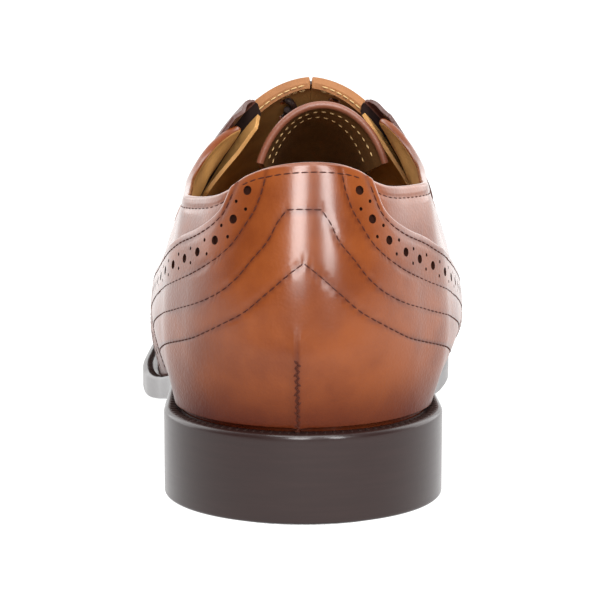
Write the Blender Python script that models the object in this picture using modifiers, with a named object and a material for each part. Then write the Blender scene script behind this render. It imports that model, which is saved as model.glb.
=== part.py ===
"""Left-foot dress shoe: a welted leather sole on a block heel under a smooth upper with side gores.

Toe at +Y, big-toe side at +X, floor at Z = 0. Sizes are in millimetres until a mesh is made.
"""

import math
from collections import namedtuple
from functools import lru_cache

import bmesh
import bpy
import numpy as np
from mathutils import Matrix, Vector

MM = 0.001
GAP = 0.3
LATERAL = -1
MEDIAL = 1

# Sole, from the floor up
SOLE_LENGTH = 304.0
HEEL_HEIGHT = 15.8
HEEL_LENGTH = 74.0
BREAST_HOLLOW = 3.5
OUTSOLE_THICKNESS = 4.5
WELT_THICKNESS = 1.9
INSOLE_THICKNESS = 3.0

# Rounding of the plan outline: the heel is a half circle, the toe a little fuller
HEEL_CENTER = 36.0
HEEL_ROUND = 2.0
TOE_CENTER = 250.0
TOE_ROUND = 2.35

# Upper
LAST_BACK = 1.2
LAST_TOE_INSET = 3.4
FEATHER_BACK = 4.6
FEATHER_TOE_INSET = 6.4
WALL = 2.2

# The wall rises to the trim line behind the cone, and from there to the toe it closes over the instep
COLLAR_TRIM = 97.0
CONE_CLOSED = 100.0

# Height difference of the topline from the lateral to the medial side, for each mm across
COLLAR_ROLL = 0.05

# The last: a row for each section along the shoe.
# Centre and half width of the sole and of the widest line of the last, the instep ridge above the floor,
# the widest line above the welt, the width of the welt ledge and the fullness of the section.
Section = namedtuple(
    "Section", "y sole_center sole_half last_center last_half ridge_x ridge_z bulge_rise ledge fullness"
)
SECTIONS = [
    Section(10, 0.0, 36.0, -0.7, 31.4, 1.5, 132.0, 21.0, 4.6, 1.68),
    Section(20, 0.0, 36.0, -0.3, 31.7, 1.5, 132.0, 21.0, 4.6, 1.68),
    Section(36, 0.0, 36.0, 0.8, 35.4, 1.5, 132.0, 21.0, 4.6, 1.68),
    Section(50, -0.1, 35.8, 1.2, 38.6, 1.8, 130.0, 20.6, 4.4, 1.46),
    Section(65, -0.3, 35.4, 1.5, 40.4, 2.2, 125.5, 20.0, 4.2, 1.40),
    Section(95, -1.6, 35.2, 1.9, 42.8, 3.2, 113.5, 19.0, 3.6, 1.50),
    Section(125, -2.5, 39.0, 2.4, 45.0, 3.6, 99.4, 17.0, 3.6, 1.76),
    Section(155, -1.7, 45.7, 2.5, 47.3, 3.2, 81.0, 13.0, 4.6, 1.88),
    Section(185, 0.2, 49.8, 1.7, 48.4, 2.8, 66.0, 10.0, 5.4, 2.00),
    Section(210, 1.7, 50.3, 1.9, 48.0, 2.6, 56.2, 9.0, 5.8, 2.08),
    Section(235, 2.9, 47.9, 2.7, 45.2, 3.0, 49.5, 8.5, 5.8, 2.15),
    Section(260, 4.1, 43.1, 3.9, 40.4, 4.0, 44.0, 8.0, 5.8, 2.20),
    Section(304, 6.5, 35.0, 6.5, 32.6, 6.5, 36.0, 8.0, 5.8, 2.20),
]

# Underside of the outsole seen from the side: flat over the heel, arch, flat tread, toe spring
TreadRow = namedtuple("TreadRow", "y z")
TREAD = [
    TreadRow(0, 15.8),
    TreadRow(76, 15.8),
    TreadRow(94, 12.9),
    TreadRow(113, 8.4),
    TreadRow(132, 4.2),
    TreadRow(150, 1.3),
    TreadRow(166, 0.0),
    TreadRow(206, 0.0),
    TreadRow(228, 0.7),
    TreadRow(255, 2.8),
    TreadRow(280, 5.6),
    TreadRow(304, 9.0),
]

# Topline seen from the side, from behind the heel to the tip of the quarter
ToplineRow = namedtuple("ToplineRow", "y z")
TOPLINE = [
    ToplineRow(-10, 88.4),
    ToplineRow(6.5, 88.1),
    ToplineRow(9, 86.9),
    ToplineRow(11, 85.2),
    ToplineRow(12.6, 83.0),
    ToplineRow(14.5, 81.2),
    ToplineRow(18, 79.6),
    ToplineRow(23, 78.8),
    ToplineRow(30, 78.2),
    ToplineRow(45, 77.6),
    ToplineRow(64, 77.2),
    ToplineRow(80, 78.4),
    ToplineRow(93, 81.8),
    ToplineRow(107, 89.4),
]
FACING_CORNER = (118.0, 97.0)
FACING_TOP = (120.3, 104.5)

# Top edge of the counter seen from the side, from the topline down to the welt
CounterRow = namedtuple("CounterRow", "y z")
COUNTER_EDGE = [
    CounterRow(10.6, 84.8),
    CounterRow(10.9, 80.0),
    CounterRow(11.6, 75.8),
    CounterRow(14, 72.0),
    CounterRow(18.5, 68.8),
    CounterRow(26.5, 65.8),
    CounterRow(33, 63.0),
    CounterRow(45, 58.8),
    CounterRow(60, 54.6),
    CounterRow(76, 50.6),
    CounterRow(92, 46.2),
    CounterRow(106, 40.5),
    CounterRow(117, 33.0),
    CounterRow(126, 24.0),
    CounterRow(133, 13.0),
]
COUNTER_FRONT = 135.0
COUNTER_OVERRUN = 8.0
COUNTER_GAP = 0.4
COUNTER_THICKNESS = 1.1
COUNTER_LIFT = 1.3

# Side slots for the gores, and how far the tip of each quarter is drawn in beside them
SlotRow = namedtuple("SlotRow", "z rear front")
SLOT = [
    SlotRow(106, 106.6, 117.5),
    SlotRow(90, 107.6, 117.8),
    SlotRow(76, 111.0, 118.2),
    SlotRow(67, 113.8, 118.2),
]
SLOT_BOTTOM = (116.2, 64.0)
TIP_DRAW = {LATERAL: 3.8, MEDIAL: 1.6}
TIP_REACH = 18.0
TIP_LOW = 62.0
TIP_HIGH = 88.0

# Folded gore, from its free outer edge round the fold to its inner edge.
# Lift is the distance out from the wall's outer face, and drawn is how far it follows the drawn-in tip.
GoreRow = namedtuple("GoreRow", "y lift drawn low top")
GORE = [
    GoreRow(103.8, 1.5, 0.9, 85.2, 91.2),
    GoreRow(107.0, 1.4, 0.8, 82.6, 92.4),
    GoreRow(111.0, 1.0, 0.5, 79.0, 94.0),
    GoreRow(114.0, 0.5, 0.2, 75.0, 95.1),
    GoreRow(116.0, -0.5, 0, 73.0, 95.8),
    GoreRow(116.5, -2.0, 0, 72.0, 95.6),
    GoreRow(115.4, -3.2, 1, 72.0, 94.8),
    GoreRow(112.6, -3.6, 1, 73.5, 93.2),
    GoreRow(109.0, -3.7, 1, 75.0, 91.0),
]
GORE_THICKNESS = 1.2
GORE_CLEAR = 0.2

# Tongue: crown line seen from the side and half width of its arch, flared at the free end
TongueRow = namedtuple("TongueRow", "y crown_x crown_z half")
TONGUE = [
    TongueRow(108, 6.7, 95.9, 20.5),
    TongueRow(112, 6.0, 94.2, 18.6),
    TongueRow(117, 5.4, 92.3, 17.0),
    TongueRow(123, 4.8, 90.2, 16.4),
    TongueRow(130, 4.2, 87.6, 16.2),
    TongueRow(150, 3.3, 79.2, 17.0),
    TongueRow(166, 3.0, 70.8, 17.5),
]
TONGUE_ARCH = 28.0
TONGUE_SPREAD = math.radians(68)
TONGUE_THICKNESS = 2.2

# Throat slit, eyelet holes and lace
SLIT_START = 114.0
SLIT_END = 168.0
SLIT_HALF = 0.5
SLIT_FLOOR = 40.0
SLIT_FLARE = 2.0
SLIT_FLARE_END = 126.0
SLIT_FLARE_LENGTH = 8.0
EYELET_ROWS = [127.0, 136.0, 145.0, 154.0, 163.0]
EYELET_OUT = 8.0
EYELET_RADIUS = 1.9
EYELET_SEGMENTS = 12
LACE_RADIUS = 1.0

# Reach of the cutters past the shoe, points along each cut edge, and small steps that find a direction
WIDE = 90.0
HIGH = 150.0
OUTLINE_STEPS = 200
TOPLINE_STEPS = 36
COUNTER_STEPS = 28
SLIT_STEPS = 12
STEP_ALONG = 0.4
STEP_UP = 0.01
SHARP_ANGLE = math.radians(40)

# Leather and rubber finishes: base colour and roughness
TAN_LEATHER = ((0.33, 0.115, 0.04), 0.32)
LINING_LEATHER = ((0.20, 0.095, 0.025), 0.6)
DARK_EDGE = ((0.035, 0.024, 0.02), 0.38)
DARK_ELASTIC = ((0.05, 0.02, 0.015), 0.7)
DARK_LACE = ((0.03, 0.015, 0.012), 0.55)


class Curve:
    """Smooth curve through a table's rows that never overshoots them and is level past its ends."""

    def __init__(self, places, values):
        self.places = np.array(places, dtype=float)
        self.values = np.array(values, dtype=float)
        rises = np.diff(self.values) / np.diff(self.places)
        slopes = [0.0]
        for before, after in zip(rises[:-1], rises[1:]):
            same_way = before * after > 0
            slopes.append(2 * before * after / (before + after) if same_way else 0.0)
        slopes.append(rises[-1])
        self.slopes = slopes

    def __call__(self, place):
        place = min(max(place, self.places[0]), self.places[-1])
        i = int(np.searchsorted(self.places, place)) - 1
        i = min(max(i, 0), len(self.places) - 2)
        step = self.places[i + 1] - self.places[i]
        t = (place - self.places[i]) / step
        ease = t * t * (3 - 2 * t)
        value = self.values[i] + ease * (self.values[i + 1] - self.values[i])
        value += step * self.slopes[i] * t * (1 - t) ** 2
        value -= step * self.slopes[i + 1] * t * t * (1 - t)
        return float(value)


def column(rows, name, place="y"):
    return Curve([getattr(row, place) for row in rows], [getattr(row, name) for row in rows])


sole_center = column(SECTIONS, "sole_center")
sole_half = column(SECTIONS, "sole_half")
last_center = column(SECTIONS, "last_center")
last_half = column(SECTIONS, "last_half")
ridge_x = column(SECTIONS, "ridge_x")
ridge_z = column(SECTIONS, "ridge_z")
bulge_rise = column(SECTIONS, "bulge_rise")
ledge = column(SECTIONS, "ledge")
fullness = column(SECTIONS, "fullness")
tread = column(TREAD, "z")
topline = column(TOPLINE, "z")
counter_edge = column(COUNTER_EDGE, "z")
crown_x = column(TONGUE, "crown_x")
crown_z = column(TONGUE, "crown_z")
tongue_half = column(TONGUE, "half")
slot_rear = Curve([row.z for row in reversed(SLOT)], [row.rear for row in reversed(SLOT)])
slot_front = Curve([row.z for row in reversed(SLOT)], [row.front for row in reversed(SLOT)])

# Plan outlines: where each begins and ends along the shoe, its centre line and its half width
Outline = namedtuple("Outline", "back front center half")
SOLE = Outline(0.0, SOLE_LENGTH, sole_center, sole_half)
LAST = Outline(LAST_BACK, SOLE_LENGTH - LAST_TOE_INSET, last_center, last_half)
FEATHER = Outline(
    FEATHER_BACK, SOLE_LENGTH - FEATHER_TOE_INSET, sole_center, lambda y: sole_half(y) - ledge(y)
)
FOOTBED_INSET = WALL + 4 * GAP
FOOTBED = Outline(
    FEATHER_BACK + FOOTBED_INSET,
    SOLE_LENGTH - FEATHER_TOE_INSET - FOOTBED_INSET,
    sole_center,
    lambda y: sole_half(y) - ledge(y) - FOOTBED_INSET,
)


def seat(y):
    """Top of the outsole."""
    return tread(y) + OUTSOLE_THICKNESS


def half_width(outline, y):
    """Half width of an outline, with its heel and toe rounded off."""
    heel = max(0.0, HEEL_CENTER - y) / (HEEL_CENTER - outline.back)
    toe = max(0.0, y - TOE_CENTER) / (outline.front - TOE_CENTER)
    round_heel = max(0.0, 1 - heel**HEEL_ROUND) ** (1 / HEEL_ROUND)
    round_toe = max(0.0, 1 - toe**TOE_ROUND) ** (1 / TOE_ROUND)
    return outline.half(y) * round_heel * round_toe


@lru_cache(maxsize=None)
def reach(outline, side, spine_y, bearing):
    """Distance from the spine to an outline along a bearing: 0 backwards, 90 sideways, 180 to the toe."""
    across = side * math.sin(math.radians(bearing))
    along = -math.cos(math.radians(bearing))
    near = 0.0
    far = WIDE
    while far - near > 1e-4:
        middle = (near + far) / 2
        x = last_center(spine_y) + across * middle
        y = spine_y + along * middle
        inside = outline.back < y < outline.front and abs(x - outline.center(y)) < half_width(outline, y)
        near, far = (middle, far) if inside else (near, middle)
    return near


# Lines round one side of the last: a fan about the heel, sections along the shoe, a fan about the toe
HEEL_LINES = 9
SIDE_LINES = 27
TOE_LINES = 8
LINES = [(HEEL_CENTER, bearing) for bearing in np.linspace(0, 90, HEEL_LINES)[:-1]]
LINES += [(y, 90.0) for y in np.linspace(HEEL_CENTER, TOE_CENTER, SIDE_LINES)[:-1]]
LINES += [(TOE_CENTER, bearing) for bearing in np.linspace(90, 180, TOE_LINES)]


def ease(value):
    value = min(max(value, 0.0), 1.0)
    return value * value * (3 - 2 * value)


def tip_draw(side, y, z):
    """How far the wall is drawn in towards the tip of the quarter, dying out across the gore slot."""
    past_edge = y - slot_rear(z)
    slot_width = slot_front(z) - slot_rear(z)
    near_edge = max(0.0, 1 + past_edge / TIP_REACH) ** 2
    along = near_edge if past_edge < 0 else ease(1 - past_edge / slot_width)
    return TIP_DRAW[side] * along * ease((z - TIP_LOW) / (TIP_HIGH - TIP_LOW))


def line_heights(side, spine_y, bearing):
    """Radius and height of the feather and of the widest line, and the height of the ridge."""
    foot = reach(FEATHER, side, spine_y, bearing)
    bulge = reach(LAST, side, spine_y, bearing)
    along = -math.cos(math.radians(bearing))
    foot_z = seat(spine_y + along * foot) + WELT_THICKNESS + 2 * GAP
    bulge_z = foot_z + bulge_rise(spine_y + along * bulge)
    return foot, foot_z, bulge, bulge_z, ridge_z(spine_y)


def wall_point(side, line, level):
    """Outer face of the upper: below level 0 the foot, 0 the welt, 1 the widest line, 2 the ridge."""
    spine_y, bearing = line
    foot, foot_z, bulge, bulge_z, top_z = line_heights(side, spine_y, bearing)
    across = side * math.sin(math.radians(bearing))
    along = -math.cos(math.radians(bearing))
    lean = 0.0
    if level < 0:
        radius = foot
        z = foot_z + level * (WELT_THICKNESS + GAP)
    elif level < 1:
        radius = foot + (bulge - foot) * math.sin(level * math.pi / 2)
        z = foot_z + (bulge_z - foot_z) * level
    else:
        turn = (level - 1) * math.pi / 2
        power = 2 / fullness(spine_y)
        radius = bulge * max(0.0, math.cos(turn)) ** power
        z = bulge_z + (top_z - bulge_z) * math.sin(turn) ** power
        lean = math.sin(turn) ** 2 * (ridge_x(spine_y) - last_center(spine_y))
        if spine_y >= TOE_CENTER:
            toe_slope = ridge_z(TOE_CENTER) - ridge_z(TOE_CENTER - 1)
            z += toe_slope * along * radius * (1 - radius / bulge)
    x = last_center(spine_y) + across * radius + lean
    y = spine_y + along * radius
    return Vector((x, y, z))


def drawn_wall(side, line, level):
    """Outer face of the upper with the quarter's tip drawn in."""
    point = wall_point(side, line, level)
    if level > 1 and line[1] == 90.0:
        point.x -= side * tip_draw(side, point.y, point.z)
    return point


def level_at(side, line, z):
    """Level of the wall above its widest line at a height."""
    _, _, _, bulge_z, top_z = line_heights(side, *line)
    share = min(max((z - bulge_z) / (top_z - bulge_z), 0.0), 1.0)
    return 1 + math.asin(share ** (fullness(line[0]) / 2)) / (math.pi / 2)


def outward(side, place, ahead, above):
    """Outward direction at a point, given points a small step towards the toe and a small step up."""
    return (ahead - place).cross(above - place).normalized() * side


def skin(side, y, z):
    """Point on the undrawn wall at a distance along the shoe and a height, and its outward direction."""
    line = (y, 90.0)
    next_line = (y + STEP_ALONG, 90.0)
    place = wall_point(side, line, level_at(side, line, z))
    ahead = wall_point(side, next_line, level_at(side, next_line, z))
    above = wall_point(side, line, level_at(side, line, z + STEP_ALONG))
    return place, outward(side, place, ahead, above)


def instep(y, out):
    """Point on the facing at a distance out from the slit, and its outward direction."""
    side = MEDIAL if out >= 0 else LATERAL
    low = 1.0
    high = 2.0
    while high - low > 1e-5:
        level = (low + high) / 2
        too_far = abs(wall_point(side, (y, 90.0), level).x - ridge_x(y)) > abs(out)
        low, high = (level, high) if too_far else (low, level)
    place = wall_point(side, (y, 90.0), low)
    ahead = wall_point(side, (y + STEP_ALONG, 90.0), low)
    above = wall_point(side, (y, 90.0), low + STEP_UP)
    return place, outward(side, place, ahead, above)


# Scene: one collection for the shoe, one for what cuts it, all on one empty at the shoe's own origin
for old in list(bpy.data.objects):
    bpy.data.objects.remove(old)
shoe = bpy.data.collections.new("dress_shoe")
cutters = bpy.data.collections.new("cutters")
bpy.context.scene.collection.children.link(shoe)
bpy.context.scene.collection.children.link(cutters)

outline_steps = np.linspace(0, SOLE_LENGTH, OUTLINE_STEPS)
widest_medial = max(sole_center(y) + half_width(SOLE, y) for y in outline_steps)
widest_lateral = min(sole_center(y) - half_width(SOLE, y) for y in outline_steps)
origin = bpy.data.objects.new("shoe_origin", None)
origin.location = Vector((-(widest_medial + widest_lateral) / 2, -SOLE_LENGTH / 2, 0)) * MM
shoe.objects.link(origin)


def finish(piece, look):
    colour, roughness = look
    material = bpy.data.materials.new(piece.name)
    material.use_nodes = True
    shader = material.node_tree.nodes["Principled BSDF"]
    shader.inputs["Base Color"].default_value = (*colour, 1.0)
    shader.inputs["Roughness"].default_value = roughness
    shader.inputs["Metallic"].default_value = 0.0
    piece.data.materials.append(material)


def place_piece(name, data, look):
    piece = bpy.data.objects.new(name, data)
    piece.parent = origin
    shoe.objects.link(piece)
    finish(piece, look)
    return piece


def mesh_of(shape, name):
    mesh = bpy.data.meshes.new(name)
    shape.to_mesh(mesh)
    shape.free()
    return mesh


def sheet(columns, rows, place, flip=False):
    """Grid whose points go where place(column, row) says, with coinciding points merged."""
    grid = bmesh.new()
    bmesh.ops.create_grid(grid, x_segments=columns - 1, y_segments=rows - 1, size=0.5)
    for vert in grid.verts:
        column_number = round((vert.co.x + 0.5) * (columns - 1))
        row_number = round((vert.co.y + 0.5) * (rows - 1))
        vert.co = Vector(place(column_number, row_number)) * MM
    bmesh.ops.remove_doubles(grid, verts=grid.verts, dist=1e-6)
    bmesh.ops.dissolve_degenerate(grid, edges=grid.edges, dist=1e-6)
    if flip:
        bmesh.ops.reverse_faces(grid, faces=grid.faces)
    return grid


def raise_solid(grid, height):
    """Closed solid from a sheet, drawn straight up by a height."""
    bottom = list(grid.faces)
    raised = bmesh.ops.extrude_face_region(grid, geom=bottom, use_keep_orig=True)
    lifted = [part for part in raised["geom"] if isinstance(part, bmesh.types.BMVert)]
    bmesh.ops.translate(grid, verts=lifted, vec=(0, 0, height * MM))
    bmesh.ops.recalc_face_normals(grid, faces=grid.faces)
    return grid


def thicken(piece, thickness, offset):
    solid = piece.modifiers.new("thickness", "SOLIDIFY")
    solid.thickness = thickness * MM
    solid.offset = offset
    solid.use_even_offset = True


def cut(piece, cutter, operation="DIFFERENCE"):
    boolean = piece.modifiers.new(cutter.name, "BOOLEAN")
    boolean.operation = operation
    boolean.object = cutter


def place_cutter(name, shape):
    cutter = bpy.data.objects.new(name, mesh_of(shape, name))
    cutter.parent = origin
    cutter.hide_render = True
    cutter.display_type = "WIRE"
    cutters.objects.link(cutter)
    return cutter


def drawn_out(outline, vector):
    """Closed solid from a flat outline drawn out along a vector."""
    shape = bmesh.new()
    face = shape.faces.new([shape.verts.new(Vector(point) * MM) for point in outline])
    ends = bmesh.ops.extrude_face_region(shape, geom=[face], use_keep_orig=True)
    moved = [part for part in ends["geom"] if isinstance(part, bmesh.types.BMVert)]
    bmesh.ops.translate(shape, verts=moved, vec=Vector(vector) * MM)
    bmesh.ops.recalc_face_normals(shape, faces=shape.faces)
    return shape


def side_cutter(name, profile, start, end, roll=0.0):
    """Cutter with a profile in the side view, drawn across the shoe and tilted by the roll."""
    outline = [(start, y, z + roll * start) for y, z in profile]
    return place_cutter(name, drawn_out(outline, (end - start, 0, roll * (end - start))))


# Sole: heel block, outsole, welt and footbed
ACROSS = 7
ALONG = 57
HEEL_ALONG = 25


def slab_place(outline, bottom, back, front, rows, hollow=0.0):
    """Grid position inside an outline, closer together at its round ends."""

    def place(column_number, row_number):
        share = 2 * column_number / (ACROSS - 1) - 1
        end = front - hollow * (1 - share * share)
        y = back + (end - back) * (1 - math.cos(math.pi * row_number / (rows - 1))) / 2
        return outline.center(y) + share * half_width(outline, y), y, bottom(y)

    return place


heel_top = HEEL_HEIGHT - GAP
heel_place = slab_place(SOLE, lambda y: 0.0, 0.0, HEEL_LENGTH, HEEL_ALONG, BREAST_HOLLOW)
heel_grid = sheet(ACROSS, HEEL_ALONG, heel_place)
place_piece("heel", mesh_of(raise_solid(heel_grid, heel_top), "heel"), DARK_EDGE)

outsole_grid = sheet(ACROSS, ALONG, slab_place(SOLE, tread, 0.0, SOLE_LENGTH, ALONG))
place_piece("outsole", mesh_of(raise_solid(outsole_grid, OUTSOLE_THICKNESS), "outsole"), DARK_EDGE)

footbed_place = slab_place(FOOTBED, lambda y: seat(y) + GAP, FOOTBED.back, FOOTBED.front, ALONG)
footbed_grid = sheet(ACROSS, ALONG, footbed_place)
place_piece("insole", mesh_of(raise_solid(footbed_grid, INSOLE_THICKNESS), "insole"), LINING_LEATHER)

# Once round the shoe: lateral side from heel to toe, then the medial side back to the heel
ROUND_TRIP = [(LATERAL, line) for line in LINES] + [(MEDIAL, line) for line in reversed(LINES[:-1])]


def welt_place(column_number, row_number):
    side, (spine_y, bearing) = ROUND_TRIP[column_number]
    outer = reach(SOLE, side, spine_y, bearing)
    inner = reach(FEATHER, side, spine_y, bearing) + GAP
    radius = inner if row_number else outer
    x = last_center(spine_y) + side * math.sin(math.radians(bearing)) * radius
    y = spine_y - math.cos(math.radians(bearing)) * radius
    return x, y, seat(y) + GAP


welt_grid = sheet(len(ROUND_TRIP), 2, welt_place)
place_piece("welt", mesh_of(raise_solid(welt_grid, WELT_THICKNESS), "welt"), DARK_EDGE)

# Upper: one wall over the last, trimmed at the topline, slots, slit and eyelets
FLARE_LEVELS = [-1.0, 0.0, 0.3, 0.65, 1.0]
ARCH_ROWS = 9


def wall_level(side, line, row_number):
    if row_number < len(FLARE_LEVELS):
        return FLARE_LEVELS[row_number]
    closed = line[0] >= CONE_CLOSED
    top = 2.0 if closed else level_at(side, line, COLLAR_TRIM)
    return 1 + (top - 1) * (row_number - len(FLARE_LEVELS) + 1) / ARCH_ROWS


def upper_place(column_number, row_number):
    side, line = ROUND_TRIP[column_number]
    return drawn_wall(side, line, wall_level(side, line, row_number))


upper_grid = sheet(len(ROUND_TRIP), len(FLARE_LEVELS) + ARCH_ROWS, upper_place, flip=True)
upper = place_piece("upper", mesh_of(upper_grid, "upper"), TAN_LEATHER)
thicken(upper, WALL, -1.0)

topline_steps = np.linspace(TOPLINE[0].y, TOPLINE[-1].y, TOPLINE_STEPS)
collar_profile = [(y, topline(y)) for y in topline_steps]
collar_profile += [FACING_CORNER, FACING_TOP, (FACING_TOP[0], HIGH), (TOPLINE[0].y, HIGH)]
cut(upper, side_cutter("collar_cut", collar_profile, -WIDE, WIDE, COLLAR_ROLL))

slot_profile = [(row.rear, row.z) for row in SLOT] + [SLOT_BOTTOM]
slot_profile += [(row.front, row.z) for row in reversed(SLOT)]
cut(upper, side_cutter("lateral_slot_cut", slot_profile, -WIDE, 0.0))
cut(upper, side_cutter("medial_slot_cut", slot_profile, 0.0, WIDE))

slit_steps = np.linspace(SLIT_START, SLIT_END, SLIT_STEPS)


def slit_half(y):
    """Half width of the slit, flared where the top corners of the facings are rounded off."""
    return SLIT_HALF + SLIT_FLARE * ease((SLIT_FLARE_END - y) / SLIT_FLARE_LENGTH)


slit_outline = [(ridge_x(y) - slit_half(y), y, SLIT_FLOOR) for y in slit_steps]
slit_outline += [(ridge_x(y) + slit_half(y), y, SLIT_FLOOR) for y in reversed(slit_steps)]
cut(upper, place_cutter("throat_cut", drawn_out(slit_outline, (0, 0, HIGH - SLIT_FLOOR))))

punches = bmesh.new()
for eyelet_y in EYELET_ROWS:
    for side in (LATERAL, MEDIAL):
        centre, direction = instep(eyelet_y, side * EYELET_OUT)
        turn = Vector((0, 0, 1)).rotation_difference(direction).to_matrix().to_4x4()
        bmesh.ops.create_cone(
            punches,
            cap_ends=True,
            segments=EYELET_SEGMENTS,
            radius1=EYELET_RADIUS * MM,
            radius2=EYELET_RADIUS * MM,
            depth=4 * WALL * MM,
            matrix=Matrix.Translation(centre * MM) @ turn,
        )
cut(upper, place_cutter("eyelet_punches", punches))

# Counter: a second layer over the back of the upper, cut to its own edge
COUNTER_LINES = [line for line in LINES if line[0] < COUNTER_FRONT + COUNTER_OVERRUN and line[1] <= 90.0]
COUNTER_TRIP = [(LATERAL, line) for line in reversed(COUNTER_LINES)]
COUNTER_TRIP += [(MEDIAL, line) for line in COUNTER_LINES[1:]]
COUNTER_ROWS = len(FLARE_LEVELS) + ARCH_ROWS - 1
CROWN_LEVEL = 1.9


def counter_place(column_number, row_number):
    side, (spine_y, bearing) = COUNTER_TRIP[column_number]
    line = (spine_y, bearing)
    lowest = COUNTER_LIFT / bulge_rise(spine_y)
    level = min(max(lowest, wall_level(side, line, row_number + 1)), CROWN_LEVEL)
    place = wall_point(side, line, level)
    above = wall_point(side, line, level + STEP_UP)
    next_line = (spine_y + STEP_ALONG, bearing) if bearing >= 90.0 else (spine_y, bearing + STEP_ALONG)
    ahead = wall_point(side, next_line, level)
    return place + outward(side, place, ahead, above) * (COUNTER_GAP + COUNTER_THICKNESS)


counter_grid = sheet(len(COUNTER_TRIP), COUNTER_ROWS, counter_place)
counter = place_piece("counter", mesh_of(counter_grid, "counter"), TAN_LEATHER)
thicken(counter, COUNTER_THICKNESS, -1.0)

# The edge falls steeply at the back, so its points are closest there
edge_start = COUNTER_EDGE[0].y
edge_run = COUNTER_EDGE[-1].y - edge_start
edge_steps = edge_start + edge_run * np.linspace(0, 1, COUNTER_STEPS) ** 2
counter_profile = [(TOPLINE[0].y, TOPLINE[0].z), (TOPLINE[1].y, TOPLINE[1].z)]
counter_profile += [(y, counter_edge(y)) for y in edge_steps]
counter_profile += [(COUNTER_FRONT, 0.0), (TOPLINE[0].y, 0.0)]
cut(counter, side_cutter("counter_outline", counter_profile, -WIDE, WIDE, COLLAR_ROLL), "INTERSECT")

# Gores: one folded elastic strip on each side, with the quarter's tip inside its fold
GORE_ROWS = 6


def gore_place(side):
    def place(column_number, row_number):
        row = GORE[column_number]
        z = row.low + (row.top - row.low) * row_number / (GORE_ROWS - 1)
        point, direction = skin(side, row.y, z)
        point = point + direction * (row.lift - row.drawn * GORE_CLEAR * TIP_DRAW[side])
        point.x -= side * row.drawn * tip_draw(side, row.y, z)
        return point

    return place


for gore_name, gore_side in (("gore_lateral", LATERAL), ("gore_medial", MEDIAL)):
    gore_grid = sheet(len(GORE), GORE_ROWS, gore_place(gore_side))
    gore = place_piece(gore_name, mesh_of(gore_grid, gore_name), DARK_ELASTIC)
    thicken(gore, GORE_THICKNESS, 0.0)

# Tongue: an arched sheet under the facings, its free end standing in the collar
TONGUE_COLUMNS = 13
TONGUE_STEPS = 16


def tongue_place(column_number, row_number):
    turn = TONGUE_SPREAD * (2 * column_number / (TONGUE_COLUMNS - 1) - 1)
    y = TONGUE[0].y + (TONGUE[-1].y - TONGUE[0].y) * row_number / (TONGUE_STEPS - 1)
    x = crown_x(y) + tongue_half(y) * math.sin(turn)
    return x, y, crown_z(y) - TONGUE_ARCH * (1 - math.cos(turn))


tongue_grid = sheet(TONGUE_COLUMNS, TONGUE_STEPS, tongue_place)
tongue = place_piece("tongue", mesh_of(tongue_grid, "tongue"), LINING_LEATHER)
thicken(tongue, TONGUE_THICKNESS, -1.0)

# Lace: a straight bar from eyelet to eyelet in each row, its ends inside the holes
LaceRow = namedtuple("LaceRow", "out lift")
LACE_PATH = [
    LaceRow(8.0, -1.8),
    LaceRow(8.0, -0.2),
    LaceRow(7.6, 0.9),
    LaceRow(6.4, 1.5),
    LaceRow(4.2, 1.5),
    LaceRow(2.0, 1.5),
]
for number, eyelet_y in enumerate(EYELET_ROWS, start=1):
    path = [(-row.out, row.lift) for row in LACE_PATH] + [(row.out, row.lift) for row in reversed(LACE_PATH)]
    cord = bpy.data.curves.new(f"lace_bar_{number}", "CURVE")
    cord.dimensions = "3D"
    cord.bevel_depth = LACE_RADIUS * MM
    cord.bevel_resolution = 2
    cord.use_fill_caps = True
    spline = cord.splines.new("POLY")
    spline.points.add(len(path) - 1)
    for point, (out, lift) in zip(spline.points, path):
        centre, direction = instep(eyelet_y, out)
        point.co = (*((centre + direction * lift) * MM), 1.0)
    place_piece(cord.name, cord, DARK_LACE)

# Round pieces shade smooth with their sharp edges kept
for piece in shoe.objects:
    if piece.type == "MESH":
        piece.data.shade_smooth()
        piece.data.set_sharp_from_angle(angle=SHARP_ANGLE)
bpy.context.view_layer.update()
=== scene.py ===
import math
from bisect import bisect_left
from collections import namedtuple
from functools import cache

import bmesh
import bpy
import numpy as np
from mathutils import Matrix, Vector

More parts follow.
